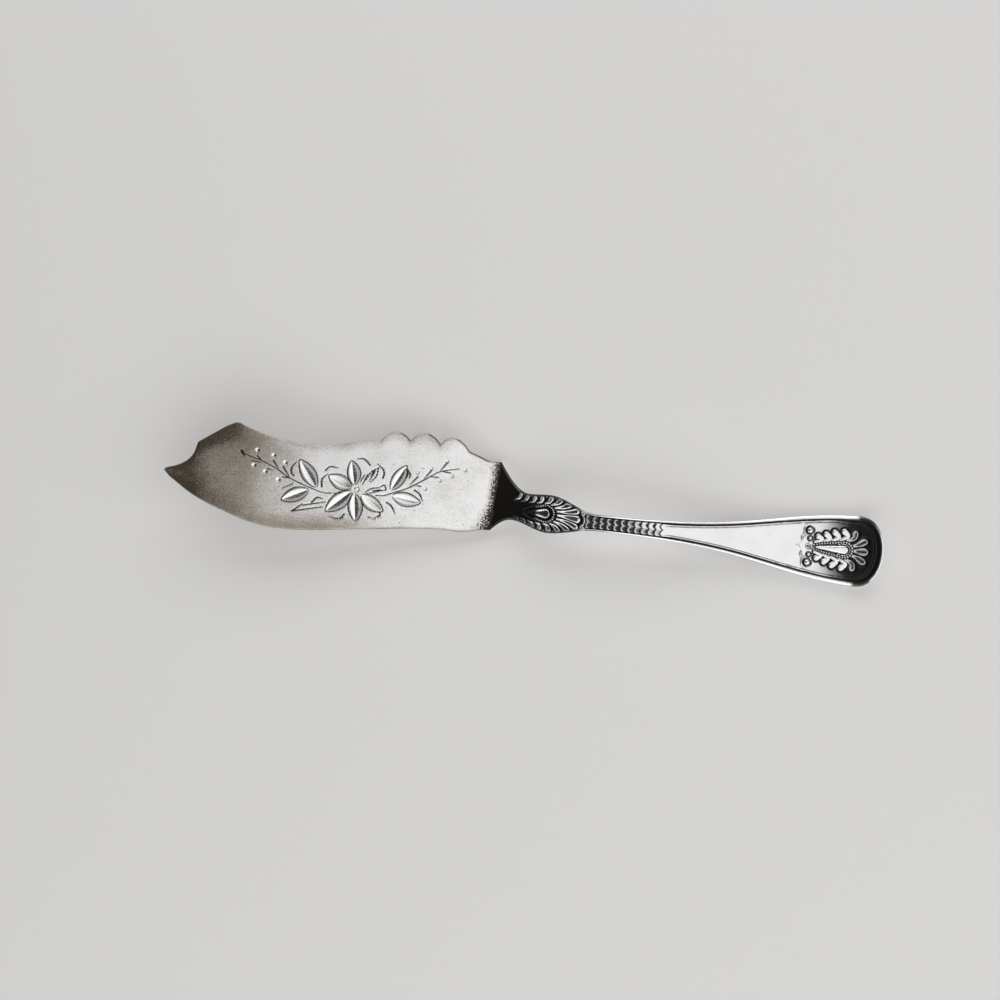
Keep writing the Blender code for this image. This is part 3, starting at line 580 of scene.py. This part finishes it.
def ornament_axis(x):
    """Middle line of the ornament, which leaves the handle's axis on the lopsided neck."""
    return smooth_through(x, [(0.0, 0.925, 0.0), (SHELL_AT, 0.925, 0.0), (SHANK_AT, 0.0, 0.0)])


def hump(share):
    """Parabola of height 1 over shares from -1 to 1."""
    return np.clip(1 - share**2, 0.0, 1.0)


# The handle's grid: columns from the heel to the end, rows over the face and back underneath.
turn_round = np.sin(np.linspace(0.0, math.pi / 2, 84))[1:-1]
neck_and_shank = ((0.0, 6.0, 0.22), (6.0, 24.4, 0.1), (24.4, 44.6, 0.15))
panel_and_palmette = ((44.6, 77.6, 0.6), (77.6, END_AT, 0.1))
bar_columns = steps(*neck_and_shank, *panel_and_palmette)
handle_columns = np.concatenate([bar_columns, END_AT + END_ROUND * turn_round])
rim_rows = np.array([0.0, 0.0006, 0.0022, 0.005, 0.009, 0.0145, 0.021, 0.028])
front_rows = np.concatenate([rim_rows, np.linspace(0.036, 0.964, 118), 1 - rim_rows[::-1]])
back_rows = np.concatenate([1 - rim_rows[1::2], np.linspace(0.95, 0.05, 8), rim_rows[::-2][:-1]])
handle_rows = np.concatenate([front_rows, back_rows])
fronts = len(front_rows)
high_y, low_y = edge_above(handle_columns), edge_below(handle_columns)
bar_x = np.repeat(handle_columns[:, None], len(handle_rows), axis=1)
bar_y = low_y[:, None] + handle_rows * (high_y - low_y)[:, None]
round_the_end = END_ROUND * np.sin(np.linspace(0.0, math.pi / 2, 120)[1:])
edges_x = np.concatenate([np.linspace(0.0, END_AT, 400), END_AT + round_the_end])
bar_edges = [np.stack([edges_x, edge(edges_x)], axis=1) for edge in (edge_above, edge_below)]
inset = edge_distance(bar_x, bar_y, bar_edges)
struck_x = bar_x[:, :fronts]
struck_y = bar_y[:, :fronts] - ornament_axis(struck_x)
struck_inset = inset[:, :fronts]
raised = np.zeros(struck_x.shape)
sunk = np.zeros(struck_x.shape)
scooped = np.zeros(struck_x.shape)

RIM_FROM = 23.2
THREAD_FROM = 43.5
RIM_HEIGHT = 0.36
RIM_SLOPE = math.tan(math.radians(24.0))
MOAT = 0.16


def add_lobe(root, elbow, head, near_half, far_half, height, hollow=0.0, roof=2.0, fall=0.0):
    """Swelling leaf along a bent line: a dome across it that widens and rises from root to head, hollowed
    along its middle by a share, with a moat cut round it. A roof of 2 is round, one of 1 a gable and one
    of 4 a flat top. fall slopes it down towards the end."""
    line = bend((root, elbow, head), 14)
    near = within(struck_x, struck_y, line, 2 * far_half)
    gap, share = near_line(struck_x[near], struck_y[near], line)
    across = gap / (near_half + (far_half - near_half) * ease(share))
    dome = np.clip(1 - across**roof, 0.0, 1.0) ** (1 / roof) * (0.5 + 0.5 * share)
    scoop = hollow * hump(across / 0.72) * ease(share / 0.5)
    scooped[near] = np.where(height * dome > raised[near], scoop, scooped[near])
    high = height * (1 - scoop) - fall * (struck_x[near] - head[0])
    raised[near] = np.maximum(raised[near], dome * high)
    sunk[near] = np.minimum(sunk[near], -MOAT * hump((across - 1.2) / 0.5))


def add_ridge(points, half, height, count=20):
    """Raised half-round line through points."""
    line = bend(points, count)
    near = within(struck_x, struck_y, line, 2 * half)
    gap, _ = near_line(struck_x[near], struck_y[near], line)
    raised[near] = np.maximum(raised[near], height * np.sqrt(hump(gap / half)))


def add_dome(x, y, radius, height, moat=0.0):
    """Round knob, with a moat of a given width round it."""
    gap = np.hypot(struck_x - x, struck_y - y)
    near = gap < radius + 2 * moat
    raised[near] = np.maximum(raised[near], height * np.sqrt(hump(gap[near] / radius)))
    if moat:
        sunk[near] = np.minimum(sunk[near], -MOAT * hump((gap[near] - radius - moat / 2) / moat))


def teardrop(tail, bulb, half, count=40):
    """Upper half of a drop lying along the axis: sides that widen as a power of the way from the tail, then
    a half circle round the bulb."""
    way = np.linspace(0.0, 1.0, count)
    turn = np.linspace(math.pi / 2, 0.0, count // 2)[1:]
    x = np.concatenate([tail + way * (bulb - tail), bulb + half * np.cos(turn)])
    y = np.concatenate([half * way**0.6, half * np.sin(turn)])
    return np.stack([x, y], axis=1)


def add_drop(tail, bulb, half, height, line_high):
    """Polished drop in the middle of the shell or palmette: a half ellipse across, rising fast from its tail
    and then falling ever faster to the bulb, with a moat and in it a thin line of a given height."""
    way = np.clip((struck_x - tail) / (bulb - tail), 0.0, 1.0)
    side = np.abs(struck_y) / np.maximum(half * way**0.6, 1e-6)
    end = np.hypot(struck_x - bulb, struck_y) / half
    across = np.where(struck_x > bulb, end, np.where(struck_x < tail, 9.0, side))
    top = quarter_round(way / 0.3) * (1 - 0.6 * np.clip((way - 0.3) / 0.7, 0.0, 1.0) ** 2)
    np.maximum(raised, height * top * hump(across) ** 0.5, out=raised)
    for flip in (1, -1):
        line = teardrop(tail - 0.4, bulb, half + 0.4) * (1, flip)
        add_ridge(line, 0.13, line_high, 60)
        near = within(struck_x, struck_y, line, 0.5)
        gap, _ = near_line(struck_x[near], struck_y[near], line)
        sunk[near] = np.minimum(sunk[near], -MOAT * hump(gap / 0.5))


def add_beads(tail, bulb, half, radius, pitch):
    """Row of beads at even steps round a drop, in a channel of its own."""
    line = teardrop(tail, bulb, half)
    walked = np.concatenate([[0.0], np.cumsum(np.hypot(*np.diff(line, axis=0).T))])
    stops = np.arange(walked[-1], 0.8, -pitch)
    bead_x, bead_y = np.interp(stops, walked, line[:, 0]), np.interp(stops, walked, line[:, 1])
    for flip in (1, -1):
        near = within(struck_x, struck_y, line * (1, flip), 0.6)
        gap, _ = near_line(struck_x[near], struck_y[near], line * (1, flip))
        sunk[near] = np.minimum(sunk[near], -MOAT * hump(gap / 0.5))
        raised[near] *= gap > 1.5 * radius
        for x, y in zip(bead_x, bead_y):
            add_dome(x, flip * y, radius, 0.6 * radius)


# Shell on the neck: (root, head, half width at root and head, hollow) of each lobe above the axis.
SHELL_LOBES = (
    ((5.2, 2.7), (6.7, 4.2), 0.18, 0.5, 0.0),
    ((6.9, 2.4), (8.5, 3.9), 0.18, 0.54, 0.0),
    ((9.1, 2.4), (10.4, 3.75), 0.2, 0.58, 0.0),
    ((11.1, 2.5), (12.2, 3.8), 0.2, 0.6, 0.0),
    ((13.1, 2.55), (14.5, 4.0), 0.25, 0.66, 0.2),
    ((14.8, 2.4), (16.9, 3.95), 0.28, 0.72, 0.25),
    ((15.8, 1.75), (19.2, 3.2), 0.3, 0.76, 0.3),
    ((16.4, 0.95), (21.2, 1.95), 0.3, 0.76, 0.3),
)
SHELL_ROOF = 1.25
for root, head, near_half, far_half, hollow in SHELL_LOBES:
    for flip, edge in ((1, edge_above), (-1, edge_below)):
        room = abs(float(edge(head[0]) - ornament_axis(head[0]))) - 0.5
        shrink = min(1.0, room / head[1])
        ends = [np.array((px, flip * py * shrink)) for px, py in (root, head)]
        elbow = (ends[0] + ends[1]) / 2 + np.array([0.3, -flip * 0.25]) * (1 - hollow)
        halves = near_half * shrink, far_half * shrink
        add_lobe(ends[0], elbow, ends[1], *halves, 0.62 * far_half, hollow, SHELL_ROOF)
add_lobe((16.6, 0.0), (19.4, 0.0), (21.4, 0.0), 0.35, 0.95, height=0.55, hollow=0.3, roof=SHELL_ROOF)
add_drop(tail=8.2, bulb=13.2, half=1.15, height=0.55, line_high=0.0)
add_beads(tail=8.0, bulb=13.4, half=2.15, radius=0.22, pitch=0.6)

# Shank: two files of overlapping leaves, whose round tips point to the blade and step down there.
SCALE_PITCH = 1.79
SCALES_FROM = 24.0
SCALE_ROWS = 11
SCALE_BULGE = 0.75
SCALE_HEIGHT = 0.17
SCALE_PEAK = 0.3             # share of the pitch from a leaf's tip to its highest line
RIM_TO_SCALES = 0.16
rim_by_shank = [(RIM_FROM, 0.48, 0.0), (38.0, 0.56, 0.01), (47.0, 0.7, 0.012)]
rim_by_end = [(75.0, 0.95, 0.02), (91.0, 1.1, 0.0), (98.5, 0.7, 0.0)]
rim_width = smooth_through(struck_x, rim_by_shank + rim_by_end)
scale_half = np.maximum(edge_above(struck_x) - rim_width - RIM_TO_SCALES, 0.2) / 2
scale_across = (np.abs(struck_y) - scale_half) / scale_half
scale_phase = (struck_x + SCALE_BULGE * (1 - np.abs(scale_across) ** 1.7) - SCALES_FROM) / SCALE_PITCH
on_scales = (scale_phase > 0) & (scale_phase < SCALE_ROWS) & (np.abs(scale_across) < 1)
behind_tip = scale_phase % 1.0
scale_top = np.where(behind_tip < SCALE_PEAK, behind_tip / SCALE_PEAK, (1 - behind_tip) / (1 - SCALE_PEAK))
scales = SCALE_HEIGHT * scale_top * (1 - 0.3 * scale_across**2)
raised = np.where(on_scales, np.maximum(raised, scales), raised)
past_scales = np.clip((scale_phase - SCALE_ROWS) * SCALE_PITCH, 0.0, None)
panel_lip = 0.2 * np.exp(-past_scales / 1.6) * (scale_phase > SCALE_ROWS) * (np.abs(scale_across) < 1)
raised = np.maximum(raised, panel_lip)

# Frame between shell and shank: a curl in each corner and a bracket line that joins them.
CURL_AT = np.array([22.85, 1.8])
CURL_RADIUS = 0.36
for flip in (1, -1):
    turns = np.linspace(-0.6, 5.4, 16)
    curl = [CURL_AT + CURL_RADIUS * np.array([math.cos(a), math.sin(a)]) for a in turns]
    add_ridge(np.array(curl) * (1, flip), half=0.2, height=0.24, count=60)
    add_ridge(((22.75, flip * 1.4), (23.2, flip * 0.8), (23.35, 0.0)), half=0.2, height=0.24)

# Palmette on the end: curled leaves, then hollow lobes round the drop, with bosses and a bracket line.
CURLS = (
    ((83.75, 1.25), (85.35, 2.0), (84.5, 2.75)),
    ((85.9, 1.55), (87.35, 2.55), (86.5, 3.55)),
    ((88.0, 1.95), (89.6, 3.1), (88.6, 4.3)),
    ((90.2, 2.45), (91.9, 3.55), (91.0, 4.75)),
)
for root, elbow, head in CURLS:
    for flip in (1, -1):
        line = [np.array((px, flip * py)) for px, py in (root, elbow, head)]
        add_lobe(*line, near_half=0.42, far_half=0.84, height=0.7, roof=3.5, fall=0.2)
END_LOBES = (
    ((92.0, 2.35), (93.6, 3.3), (93.8, 4.5), 0.36, 0.8, 0.45),
    ((93.2, 1.1), (94.9, 1.75), (96.3, 2.6), 0.36, 0.86, 0.6),
)
for root, elbow, head, near_half, far_half, hollow in END_LOBES:
    for flip in (1, -1):
        line = [np.array((px, flip * py)) for px, py in (root, elbow, head)]
        add_lobe(*line, near_half, far_half, 0.62, hollow)
add_lobe((93.5, 0.0), (95.0, 0.0), (96.5, 0.0), 0.4, 1.0, height=0.66, hollow=0.65)
add_drop(tail=82.6, bulb=91.4, half=1.05, height=0.6, line_high=0.2)
add_beads(tail=82.7, bulb=91.5, half=2.0, radius=0.26, pitch=0.7)
BOSS_AT = (82.2, 4.15)
LOOP_RADIUS = 1.5            # of the line that loops round a boss
EYE_AT = 82.0
EYE_RADIUS = 0.42
for flip in (1, -1):
    add_dome(82.4, flip * 2.1, radius=0.5, height=0.5, moat=0.3)
    add_dome(BOSS_AT[0], flip * BOSS_AT[1], radius=0.8, height=0.55, moat=0.32)
    turns = np.linspace(0.2, 2.4, 7)
    loop_x = BOSS_AT[0] - LOOP_RADIUS * np.sin(turns)
    loop_y = BOSS_AT[1] + LOOP_RADIUS * np.cos(turns)
    add_ridge(np.stack([loop_x, flip * loop_y], axis=1), half=0.16, height=0.2)
    add_ridge(((81.0, flip * 3.0), (80.25, flip * 2.45), (80.35, flip * 1.45)), half=0.15, height=0.18)
    add_ridge(((80.05, flip * 0.85), (79.15, 0.0)), half=0.15, height=0.18, count=4)
    turns = np.linspace(0.0, math.pi, 7)
    eye_x, eye_y = EYE_AT - EYE_RADIUS * np.cos(turns), EYE_RADIUS * np.sin(turns)
    add_ridge(np.stack([eye_x, flip * eye_y], axis=1), half=0.16, height=0.3)

# The rim swells with the handle: it slopes flatly outwards from its crest and steeply inwards to a groove,
# beside which run a thin thread and a fine line.
RIM_CREST = 0.7              # share of the rim's width from the edge to its crest
GROOVE_DEPTH = 0.18
THREAD_HEIGHT = 0.16
LINE_DEPTH = 0.12
FIELD_FROM = 80.6            # the palmette's field is struck deeper from here on
FIELD_DEPTH = 0.1
with_rim = ease((struck_x - RIM_FROM) / 1.2)
with_thread = ease((struck_x - THREAD_FROM) / 2.0)
groove_half = 0.14 + 0.1 * ease((struck_x - 41.0) / 5.0) + 0.5 * ease((struck_x - 87.0) / 10.0)
rim_share = struck_inset / rim_width
outwards = np.clip(1 - rim_share / RIM_CREST, 0.0, 1.0)
inwards = np.clip((rim_share - RIM_CREST) / (1 - RIM_CREST), 0.0, 1.0)
border = with_rim * (RIM_HEIGHT - RIM_SLOPE * RIM_CREST * rim_width * outwards) * (1 - inwards**2)
past_rim = struck_inset - rim_width
border -= with_rim * GROOVE_DEPTH * hump((past_rim - 0.8 * groove_half) / groove_half)
border += with_thread * THREAD_HEIGHT * hump((past_rim - 1.8 * groove_half - 0.14) / 0.17)
border -= with_thread * LINE_DEPTH * hump((past_rim - 1.8 * groove_half - 0.42) / 0.14)
on_border = with_rim * (past_rim < 1.6 * groove_half)
relief = np.where(raised > 0.01, raised, sunk) * (1 - on_border) * ease(struck_inset / 0.45) + border
relief -= FIELD_DEPTH * ease((struck_x - FIELD_FROM) / 0.6) * ease((struck_inset - rim_width - 0.7) / 0.3)

round_in_front = [(0.0, 0.3, 0.0), (WAIST_ABOVE_AT, 0.75, 0.0), (20.0, 0.75, 0.0), (RIM_FROM + 2, 0.16, 0.0)]
edge_round = smooth_through(bar_x, round_in_front)
edge_round[:, fronts:] = smooth_through(bar_x[:, fronts:], [(0.0, 0.3, 0.0), (WAIST_ABOVE_AT, 0.9, 0.0)])
facing = np.where(np.arange(len(handle_rows)) < fronts, 1.0, -1.0)
up = thickness(bar_x) / 2 * (1 + facing * quarter_round(inset / edge_round))
up[:, :fronts] += relief * quarter_round(struck_inset / edge_round[:, :fronts])
lean = np.clip(1 - bar_x / WAIST_ABOVE_AT, 0.0, 1.0) ** 2
tip_over = BLADE_TILT * lean
skin_x = bar_x + up * np.sin(tip_over) + HEEL_SLANT * (bar_y - HEEL_MIDDLE) * lean
skin_z = underside(bar_x) + up * np.cos(tip_over)

# The tongue: the heel's ring drawn in to a thin plate with rounded front corners.
tongue_front = TONGUE_CORNER * (1 - np.cos(np.linspace(0.0, math.pi / 2, 8)))
tongue_x = np.concatenate([-TONGUE_LENGTH + tongue_front[1:], [HEEL_SLANT]])
corner = np.clip(1 - (tongue_x + TONGUE_LENGTH) / TONGUE_CORNER, 0.0, 1.0)
pulled_in = TONGUE_CORNER * (1 - np.sqrt(1 - corner**2))
tongue_high = HEEL_ABOVE - TONGUE_MARGIN - pulled_in
tongue_low = -HEEL_BELOW + TONGUE_MARGIN + pulled_in
plate_y = tongue_low[:, None] + handle_rows * (tongue_high - tongue_low)[:, None]
at_root = (tongue_x > -0.5)[:, None]
plate_x = tongue_x[:, None] + np.where(at_root, HEEL_SLANT * (plate_y - HEEL_MIDDLE), 0.0)
plate_z = -JOINT_GAP - TONGUE_THICKNESS * np.where(facing > 0, 0.0, 1.0) * np.ones_like(plate_x)
tongue_rings = on_seat(plate_x, plate_y, plate_z)
handle_rings = np.concatenate([tongue_rings, in_frame(skin_x, bar_y, skin_z)])
handle_mesh = closed_skin("struck_handle", handle_rings[::-1])

# Tarnish lies where the relief is lower than its surroundings. Over it lies painted shade: thick on the neck,
# round the palmette, on the shank's leaves and the rim's flank, and on the corners of the end.
SMOOTHINGS = 24
level = relief.copy()
crowd = (raised > 0.06) * (1.0 - on_border) * (struck_x > 80.0)
for _ in range(SMOOTHINGS):
    for heap in (level, crowd):
        heap[1:-1] = (heap[:-2] + 2 * heap[1:-1] + heap[2:]) / 4
        heap[:, 1:-1] = (heap[:, :-2] + 2 * heap[:, 1:-1] + heap[:, 2:]) / 4
patina_and_shade = np.clip((level - relief - 0.03) / 0.11, 0.0, 1.0)


def darken(share):
    """Adds a share of darkening, as tarnish in hollows and as painted shade elsewhere. Each point keeps the
    most that it was given.
    """
    np.maximum(patina_and_shade, share, out=patina_and_shade)


# On the end, tarnish and painted shade: the field behind the palmette, darker towards the end, painted
# shadow between its crowded lobes, its hollow lobes, and painted shade on the rim's corners.
bare = np.clip(1 - raised / 0.08, 0.0, 1.0) * np.clip(past_rim / 0.2, 0.0, 1.0)
darken(bare * ease((struck_x - 83.0) / 10.0))
darken(bare * np.clip(3 * crowd - 0.2, 0.0, 1.0))
darken(np.clip(2.4 * scooped - 0.25, 0.0, 0.95) * (struck_x > 91.0))
at_corner = ease(1.6 * hump((struck_x - 96.4) / 2.7)) * ease((np.abs(struck_y) - 4.5) / 1.5)
darken(0.9 * at_corner * ease(1 - past_rim / 0.3))

# On the neck, painted shade over some tarnish: its edges, the ground between the lobes, all but their
# crests, the part left of the drop's bulb below the upper lobes, and the drop's tail.
darken(ease(1.2 - struck_inset) * ease((24.0 - struck_x) / 3.0))
darken(bare * ease(24.8 - struck_x))
darken(ease((22.6 - struck_x) / 0.8) * np.clip((level - relief + 0.07) / 0.09, 0.0, 1.0))
darken(0.85 * ease((12.5 - struck_x) / 4.5) * (struck_y < 2.9))
darken(ease((12.0 - struck_x) / 1.4) * (np.abs(struck_y) < 1.5))

# On the shank: painted shadow at the feet of the leaves, painted shade on their faces towards the blade,
# tarnish in the groove, and painted shade on the rim's outer flank.
leaf_edge = hump((behind_tip - SCALE_PEAK) / 0.17)
leaf_foot = np.maximum(hump((behind_tip - 0.94) / 0.2), hump((behind_tip + 0.06) / 0.2))
upper_file = ease((40.0 - struck_x) / 7.0)
lower_file = 0.45 + 0.55 * ease((42.0 - struck_x) / 8.0)
darken(on_scales * np.minimum(1.0, 1.6 * leaf_foot))
darken(0.97 * on_scales * (1 - leaf_edge) * np.where(struck_y > 0, upper_file, lower_file))
darken(with_rim * np.minimum(1.0, 2 * hump((past_rim - 0.8 * groove_half) / groove_half)))
darken(with_rim * ease((outwards - 0.1) / 0.3) * ease((33.0 - struck_x) / 8.0))
tarnish_and_shade = np.zeros(bar_x.shape)
tarnish_and_shade[:, :fronts] = patina_and_shade
tarnish_and_shade = np.concatenate([np.zeros(plate_x.shape), tarnish_and_shade])
paint(handle_mesh, "tarnish_and_shade", tarnish_and_shade[::-1])


def struck_plate():
    """Bright struck plate: polished on the high parts, brown-black tarnish in the hollows, painted shade on
    the neck, shank, rim and end, and hairline scratches along the panel."""
    finish, tree, shader, place = new_metal("struck_silver_plate")
    cloud = noise(tree, place, 160.0, 5.0)
    grain = noise(tree, place, 3000.0, 2.0)
    scratch = noise(tree, place, 1.0, 2.0, (120.0, 5000.0, 120.0), 0.05)
    dark = painted(tree, "tarnish_and_shade")
    silver = tint(tree, spread(tree, cloud, 0.4, 0.8), (0.80, 0.80, 0.81), (0.75, 0.735, 0.72))
    link(tree, tint(tree, dark, silver, (0.03, 0.027, 0.025)), shader.inputs["Base Color"])
    rough = work_out(tree, "MULTIPLY_ADD", dark, 0.18)
    link(tree, spread(tree, scratch, 0.3, 0.7, 0.13, 0.22), rough.node.inputs[2])
    link(tree, rough, shader.inputs["Roughness"])
    bump(tree, shader, work_out(tree, "ADD", scratch, grain), 0.000012)
    return finish


handle_mesh.materials.append(struck_plate())
handle_piece = bpy.data.objects.new("struck_handle", handle_mesh)
bpy.context.scene.collection.objects.link(handle_piece)
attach(handle_piece, "root")
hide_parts("handle")


# Solder seam
# A fillet of hard solder that ran out round the tongue under the blade, drawn into a hollow curve between
# the tongue's edge and the sheet.
SOLDER_LEG = 0.7
SEAM_STOP = -0.3             # where the seam ends, short of the heel
TURN_STEPS = 24
turn = np.linspace(0.0, math.pi / 2, TURN_STEPS)
seam_high = HEEL_ABOVE - TONGUE_MARGIN - TONGUE_CORNER
seam_low = -HEEL_BELOW + TONGUE_MARGIN + TONGUE_CORNER
seam_front = -TONGUE_LENGTH + TONGUE_CORNER
high_turn = np.stack([-np.sin(turn), np.cos(turn)], axis=1)
low_turn = np.stack([-np.cos(turn), -np.sin(turn)], axis=1)
seam_out = np.concatenate([[(0.0, 1.0)], high_turn, low_turn, [(0.0, -1.0)]])
seam_x = np.concatenate([[SEAM_STOP], np.full(2 * TURN_STEPS, seam_front), [SEAM_STOP]])
seam_y = np.repeat([seam_high, seam_low], TURN_STEPS + 1)
seam_x[[0, -1]] += HEEL_SLANT * (seam_y[[0, -1]] + TONGUE_CORNER * seam_out[[0, -1], 1] - HEEL_MIDDLE)
sweep = np.linspace(0.0, math.pi / 2, 9)
seam_reach = np.concatenate([[0.0], SOLDER_LEG * (1 - np.sin(sweep))])
seam_drop = np.concatenate([[0.0], SOLDER_LEG * (1 - np.cos(sweep))])
seam_reach = TONGUE_CORNER + JOINT_GAP + seam_reach
fillet_x = seam_x[:, None] + seam_out[:, :1] * seam_reach
fillet_y = seam_y[:, None] + seam_out[:, 1:] * seam_reach
fillet_z = -JOINT_GAP - seam_drop * np.ones_like(fillet_x)
solder_mesh = closed_skin("solder_fillet", on_seat(fillet_x, fillet_y, fillet_z))


def dull_solder():
    """Grey-yellow solder with a frosty skin and brown flux stains."""
    finish, tree, shader, place = new_metal("hard_solder")
    frost = noise(tree, place, 2200.0, 4.0)
    stain = noise(tree, place, 300.0, 4.0)
    color = tint(tree, spread(tree, stain, 0.4, 0.7), (0.62, 0.59, 0.52), (0.30, 0.25, 0.19))
    link(tree, color, shader.inputs["Base Color"])
    link(tree, spread(tree, frost, 0.3, 0.7, 0.38, 0.58), shader.inputs["Roughness"])
    bump(tree, shader, frost, 0.00003)
    return finish


solder_mesh.materials.append(dull_solder())
solder_piece = bpy.data.objects.new("solder_fillet", solder_mesh)
bpy.context.scene.collection.objects.link(solder_piece)
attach(solder_piece, "root")
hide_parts("solder_seam")


# Studio
# A plain pale floor, one large soft box over the knife's right, a long strip on its far and near side, and a
# camera that looks straight down from 450 mm, with the knife lying a little clockwise in the picture.
FLOOR_HALF = 2.0
FLOOR_GAP = 0.02 * MM        # keeps the floor's face apart from the knife's lowest points


def seen_or_mirrored(tree):
    """1 for rays that show the backdrop, straight or mirrored, and 0 for light that falls on things."""
    path = tree.nodes.new("ShaderNodeLightPath").outputs
    mirrored = work_out(tree, "MAXIMUM", path["Is Glossy Ray"], path["Is Transmission Ray"])
    return work_out(tree, "MAXIMUM", path["Is Camera Ray"], mirrored)


floor_mesh = bpy.data.meshes.new("floor")
corners = FLOOR_HALF * np.array([(-1, -1, 0), (1, -1, 0), (1, 1, 0), (-1, 1, 0)])
floor_mesh.from_pydata(corners - (0.0, 0.0, FLOOR_GAP), [], [(0, 1, 2, 3)])
floor_finish = bpy.data.materials.new("pale_floor")
floor_finish.use_nodes = True
floor_tree = floor_finish.node_tree
floor_shader = floor_tree.nodes["Principled BSDF"]
floor_shader.inputs["Base Color"].default_value = (0.80, 0.79, 0.78, 1.0)
floor_shader.inputs["Roughness"].default_value = 0.9
floor_shader.inputs["Emission Color"].default_value = (1.0, 0.99, 0.97, 1.0)
from_knife = floor_tree.nodes.new("ShaderNodeVectorMath")
from_knife.operation = "LENGTH"
link(floor_tree, floor_tree.nodes.new("ShaderNodeTexCoord").outputs["Object"], from_knife.inputs[0])
far_glow = spread(floor_tree, from_knife.outputs["Value"], 0.25, 1.2, 0.16, 0.58)
floor_glow = work_out(floor_tree, "MULTIPLY", seen_or_mirrored(floor_tree), far_glow)
link(floor_tree, floor_glow, floor_shader.inputs["Emission Strength"])
floor_mesh.materials.append(floor_finish)
floor = bpy.data.objects.new("floor", floor_mesh)
bpy.context.scene.collection.objects.link(floor)


def soft_box(name, place, width, height, power):
    """Area lamp that points from place to the knife's middle, in metres and watts."""
    lamp = bpy.data.lights.new(name, "AREA")
    lamp.shape = "RECTANGLE"
    lamp.size = width
    lamp.size_y = height
    lamp.energy = power
    box = bpy.data.objects.new(name, lamp)
    bpy.context.scene.collection.objects.link(box)
    box.location = place
    direction = -np.array(place)
    flat = math.hypot(direction[0], direction[1])
    heading = math.atan2(direction[1], direction[0]) - math.pi / 2
    box.rotation_euler = (math.atan2(flat, -direction[2]), 0.0, heading)


soft_box("key", place=(0.45, -0.15, 0.65), width=0.92, height=0.95, power=2.9)
soft_box("far_strip", place=(-0.10, 0.58, 0.46), width=1.0, height=0.42, power=2.3)
soft_box("near_strip", place=(-0.10, -0.58, 0.46), width=1.0, height=0.42, power=1.9)

# The backdrop is pale near the floor, as the camera and the metal see it, and dark overhead.
PALE_BY_FLOOR = 50.0         # strengths of the near black backdrop colour
DARK_OVERHEAD = 1.0
world = bpy.data.worlds.new("studio")
world.use_nodes = True
sky = world.node_tree
backdrop = sky.nodes["Background"]
backdrop.inputs["Color"].default_value = (0.012, 0.012, 0.012, 1.0)
direction = sky.nodes.new("ShaderNodeSeparateXYZ")
link(sky, sky.nodes.new("ShaderNodeTexCoord").outputs["Generated"], direction.inputs["Vector"])
pale_below = spread(sky, direction.outputs["Z"], 0.1, 0.75, PALE_BY_FLOOR, DARK_OVERHEAD)
link(sky, work_out(sky, "MULTIPLY", seen_or_mirrored(sky), pale_below), backdrop.inputs["Strength"])
bpy.context.scene.world = world

CAMERA_HEIGHT = 450.0
CAMERA_OVER = (1.5, 3.14)
KNIFE_TURN = math.radians(6.27)
VIEW_WIDTH = 260.0
SENSOR_WIDTH = 36.0
camera_data = bpy.data.cameras.new("camera")
camera_data.sensor_width = SENSOR_WIDTH
camera_data.lens = SENSOR_WIDTH * CAMERA_HEIGHT / VIEW_WIDTH
camera_data.clip_start = 0.01
camera = bpy.data.objects.new("camera", camera_data)
bpy.context.scene.collection.objects.link(camera)
camera.location = in_frame(*CAMERA_OVER, CAMERA_HEIGHT)
camera.rotation_euler = (0.0, 0.0, KNIFE_TURN)
bpy.context.scene.camera = camera
bpy.context.scene.view_settings.view_transform = "Standard"
